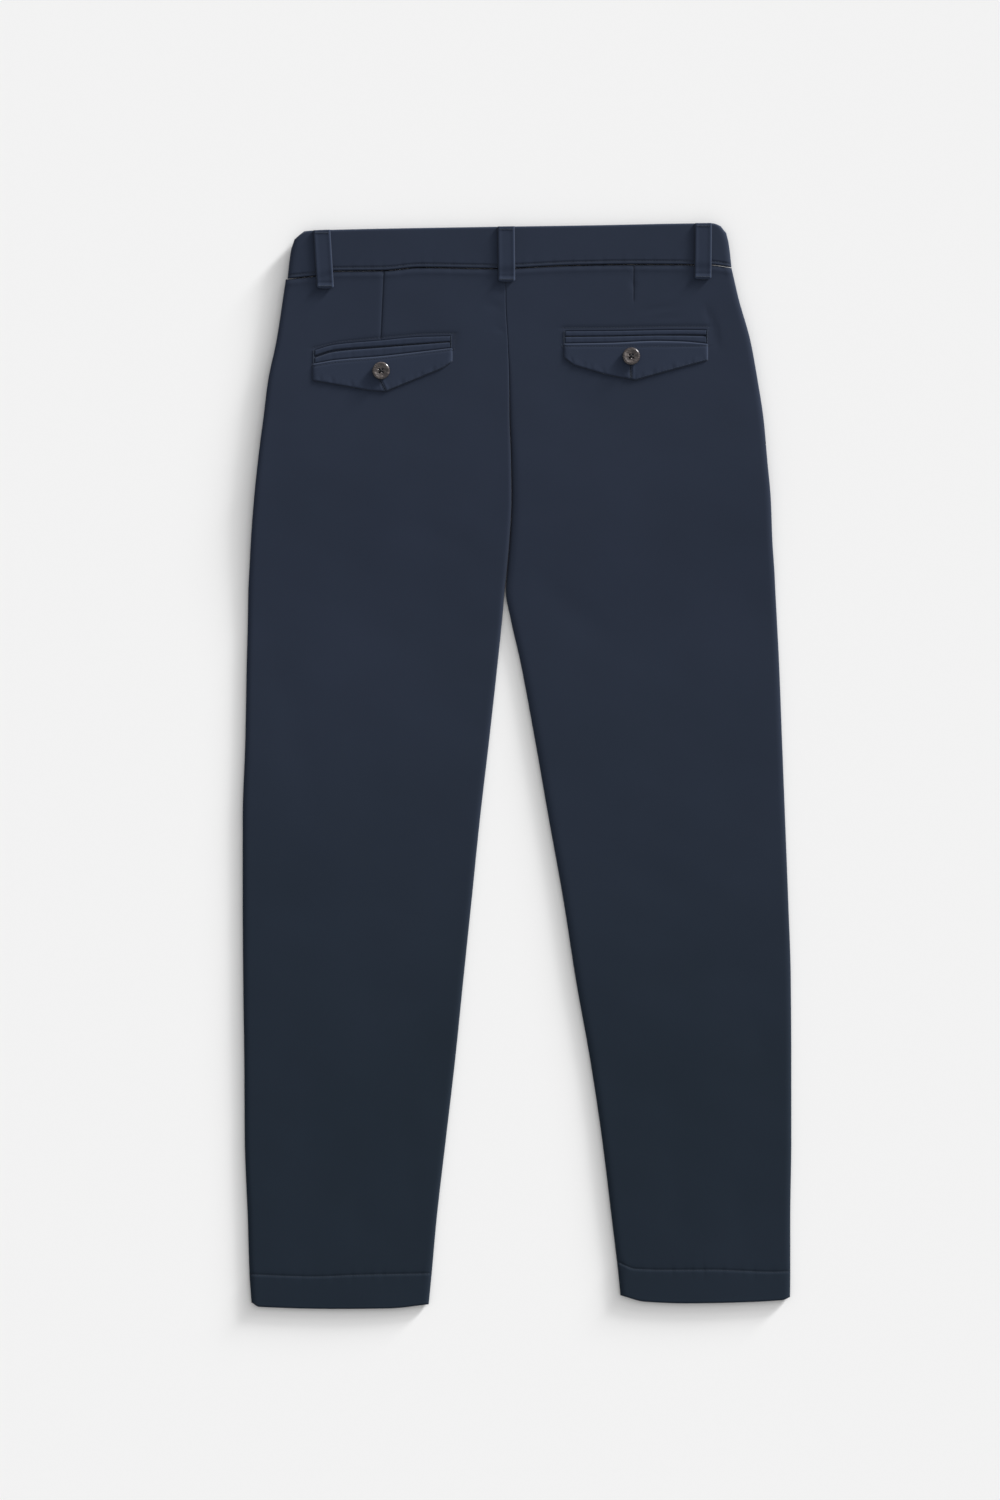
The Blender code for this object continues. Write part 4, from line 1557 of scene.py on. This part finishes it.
def hem_stitches(sizes):
    bm = bmesh.new()
    for panel in PANELS:
        sewn = [(x, y) for x, y in sampled(panel.hem_sewn, *hem_span(panel))]
        stitch_row(bm, sewn, lambda x, y: back_height(panel, x, y), sizes)
        stitch_row(bm, sewn, lambda x, y: front_height(panel, x, y), sizes, face=-1)
    return bm


def hem_span(panel):
    """Ends of a hem's row of stitches, just inside the leg's edges."""
    ends = [float(panel.outer(-492)) + 2 * panel.turn, float(panel.inner(-487)) - 2 * panel.turn]
    return sorted(ends)


def waist_stitches(sizes):
    bm = bmesh.new()
    row = shifted(waist_seam, 3.6)
    left, right = BAND_SECTIONS[0].left + 3, BAND_SECTIONS[0].right - 3
    stitch_row(bm, sampled(row, left, right), band_height, sizes)
    stitch_row(bm, sampled(row, left, right), band_front_height, sizes, face=-1)
    return bm


def pocket_stitches(sizes):
    bm = bmesh.new()
    for panel in PANELS:
        pocket = panel.pocket
        box = lambda x, y: np.where(
            y < patch_high(pocket)(x), patch_height(panel, x, y), back_height(panel, x, y)
        )
        stitch_row(bm, pocket.box, box, sizes)
        start = 2 if pocket.side == "left" else 3
        edge = [(x, y + 1.7) for x, y in pocket.patch[start:]]
        stitch_row(bm, edge, lambda x, y: patch_height(panel, x, y), sizes)
        for station, turn in ((pocket.stations[0], -1), (pocket.stations[-1], 1)):
            x = station.x + turn * 0.6
            bar_tack(
                bm,
                (x, station.bottom + 0.6),
                (x, station.top - 0.4),
                1.1,
                lambda a, b: panel_base(panel, a, b) + 0.1,
                sizes,
            )
    return bm


def front_stitches(sizes):
    bm = bmesh.new()
    for panel in PANELS:
        low, high = FRONT_MOUTHS[panel.side]
        for inset in (2.0, 7.0):
            path = [
                (float(line_through_y((low, high), y)) + inset * panel.turn, y)
                for y in np.linspace(326, 474, 30)
            ]
            stitch_row(bm, path, lambda x, y: front_height(panel, x, y), sizes, face=-1)
    y = np.linspace(FLY_BOTTOM + 4, 478, 50)
    path = np.stack([fly_left(y) + 2.2, y], axis=1)
    stitch_row(bm, path, fly_height, sizes, face=-1)
    return bm


def loop_tacks(sizes):
    bm = bmesh.new()
    for loop in LOOPS:
        for rise in (2.0, float(waist_top(loop.top_x)) - loop.bottom_y - 3.0):
            y = loop.bottom_y + rise
            x = float(loop_middle(loop, y))
            height = lambda a, b: loop_height(loop, np.float64(a), np.float64(b))
            bar_tack(bm, (x - 6.6, y), (x + 6.6, y), 1.1, height, sizes, loop.face)
    return bm


def buttonhole_stitches(sizes):
    bm = bmesh.new()
    for panel in PANELS:
        (x0, y0), (x1, y1) = panel.pocket.slit
        run = np.array([x1 - x0, y1 - y0])
        side = np.array([-run[1], run[0]]) / np.hypot(*run) * 0.8
        height = lambda a, b: patch_height(panel, np.float64(a), np.float64(b))
        for sign in (-1, 1):
            start = np.array([x0, y0]) + side * sign
            bar_tack(bm, start, start + run, 0.9, height, sizes)
    return bm


class TROUSERS_OT_stage(bpy.types.Operator):
    """Plain pale floor, soft light from the upper right and the camera above the garment."""

    bl_idname = "trousers.stage"
    bl_label = "Stage"

    def execute(self, context):
        stage = context.scene.trousers_stage
        add_floor(stage)
        add_lights(context.scene, stage)
        add_camera(context.scene)
        context.scene.view_settings.view_transform = "Standard"
        return {"FINISHED"}


FLOOR_SIZE = 8.0
FLOOR_DROP = 0.00005


def add_floor(stage):
    bm = bmesh.new()
    place = Matrix.Translation((0, 0, CAD_BOX[0].z - FLOOR_DROP))
    bmesh.ops.create_grid(bm, x_segments=1, y_segments=1, size=FLOOR_SIZE / 2, matrix=place)
    mesh = bpy.data.meshes.new("floor")
    bm.to_mesh(mesh)
    bm.free()
    material, tree, shader = new_material("pale_floor")
    place = add_node(tree, "TexCoord").outputs["Object"]
    grain = add_node(tree, "TexNoise", {"Vector": place, "Scale": 900.0, "Detail": 2.0})
    colour = (*stage.floor_colour, 1.0)
    dull = tuple(c * 0.995 for c in stage.floor_colour) + (1.0,)
    tree.links.new(mix_colours(tree, grain.outputs[0], dull, colour), shader.inputs["Base Color"])
    shader.inputs["Roughness"].default_value = 1.0
    shader.inputs["Specular IOR Level"].default_value = 0.0
    back = add_node(tree, "NewGeometry").outputs["Backfacing"]
    clear = add_node(tree, "BsdfTransparent")
    mixed = add_node(tree, "MixShader", {0: back})
    tree.links.new(shader.outputs[0], mixed.inputs[1])
    tree.links.new(clear.outputs[0], mixed.inputs[2])
    output = tree.nodes["Material Output"]
    tree.links.new(mixed.outputs[0], output.inputs["Surface"])
    mesh.materials.append(material)
    floor = bpy.data.objects.new("floor", mesh)
    bpy.context.scene.collection.objects.link(floor)


# Azimuth from +X towards +Y and height above the floor in degrees, strength, and spread.
Lamp = namedtuple("Lamp", "name azimuth height strength spread")
LAMPS = [
    Lamp("key_low", 47, 7.5, 5.2, 9),
    Lamp("key_middle", 45, 13, 1.9, 13),
    Lamp("key_high", 43, 26, 0.5, 22),
    Lamp("key_top", 50, 52, 0.22, 40),
]


def add_lights(scene, stage):
    for lamp in LAMPS:
        light = bpy.data.lights.new(lamp.name, "SUN")
        light.energy = lamp.strength * stage.key_strength
        light.angle = np.radians(lamp.spread)
        made = bpy.data.objects.new(lamp.name, light)
        turn, rise = np.radians(lamp.azimuth), np.radians(lamp.height)
        towards = Vector((np.cos(turn) * np.cos(rise), np.sin(turn) * np.cos(rise), np.sin(rise)))
        made.rotation_euler = towards.to_track_quat("Z", "Y").to_euler()
        made.location = towards * 3
        scene.collection.objects.link(made)
    world = bpy.data.worlds.new("studio")
    world.use_nodes = True
    sky = world.node_tree.nodes["Background"]
    sky.inputs["Color"].default_value = (1.0, 1.0, 1.0, 1.0)
    sky.inputs["Strength"].default_value = stage.sky_strength
    scene.world = world


VIEW_HEIGHT = 1.455
VIEW_CENTRE = (-0.0165, 0.0158)
LENS, SENSOR = 120.0, 36.0


def add_camera(scene):
    data = bpy.data.cameras.new("camera")
    data.lens = LENS
    data.sensor_width = SENSOR
    data.dof.use_dof = False
    distance = VIEW_HEIGHT * LENS / SENSOR
    data.clip_end = distance * 4
    camera = bpy.data.objects.new("camera", data)
    camera.location = (*VIEW_CENTRE, distance)
    scene.collection.objects.link(camera)
    scene.camera = camera


# --- Sidebar and registering ------------------------------------------------

OPERATORS = (
    TROUSERS_OT_stage,
    TROUSERS_OT_back_panels,
    TROUSERS_OT_front_panels,
    TROUSERS_OT_front_pockets,
    TROUSERS_OT_waistband,
    TROUSERS_OT_belt_loops,
    TROUSERS_OT_back_pockets,
    TROUSERS_OT_buttons,
    TROUSERS_OT_stitching,
)


class TROUSERS_PT_sidebar(bpy.types.Panel):
    """Lists the pieces of the trousers and their settings."""

    bl_label = "Trousers"
    bl_idname = "TROUSERS_PT_sidebar"
    bl_space_type = "VIEW_3D"
    bl_region_type = "UI"
    bl_category = "Trousers"

    def draw(self, context):
        layout = self.layout
        for settings in SETTINGS:
            group = getattr(context.scene, settings)
            for name in group.bl_rna.properties.keys():
                if name not in ("rna_type", "name"):
                    layout.prop(group, name)
        for operator in OPERATORS:
            layout.operator(operator.bl_idname)


SETTINGS = {
    "trousers_sizes": TrousersSizes,
    "trousers_finish": TrousersFinish,
    "trousers_stage": TrousersStage,
}


def register():
    for made in (*SETTINGS.values(), *OPERATORS, TROUSERS_PT_sidebar):
        bpy.utils.register_class(made)
    for name, group in SETTINGS.items():
        setattr(bpy.types.Scene, name, PointerProperty(type=group))


def unregister():
    for name in SETTINGS:
        delattr(bpy.types.Scene, name)
    for made in (TROUSERS_PT_sidebar, *reversed(OPERATORS), *reversed(SETTINGS.values())):
        bpy.utils.unregister_class(made)


def main():
    register()
    bpy.ops.trousers.stage()
    bpy.ops.trousers.back_panels()
    bpy.ops.trousers.front_panels()
    bpy.ops.trousers.front_pockets()
    bpy.ops.trousers.waistband()
    bpy.ops.trousers.belt_loops()
    bpy.ops.trousers.back_pockets()
    bpy.ops.trousers.buttons()
    bpy.ops.trousers.stitching()


if __name__ == "__main__":
    main()
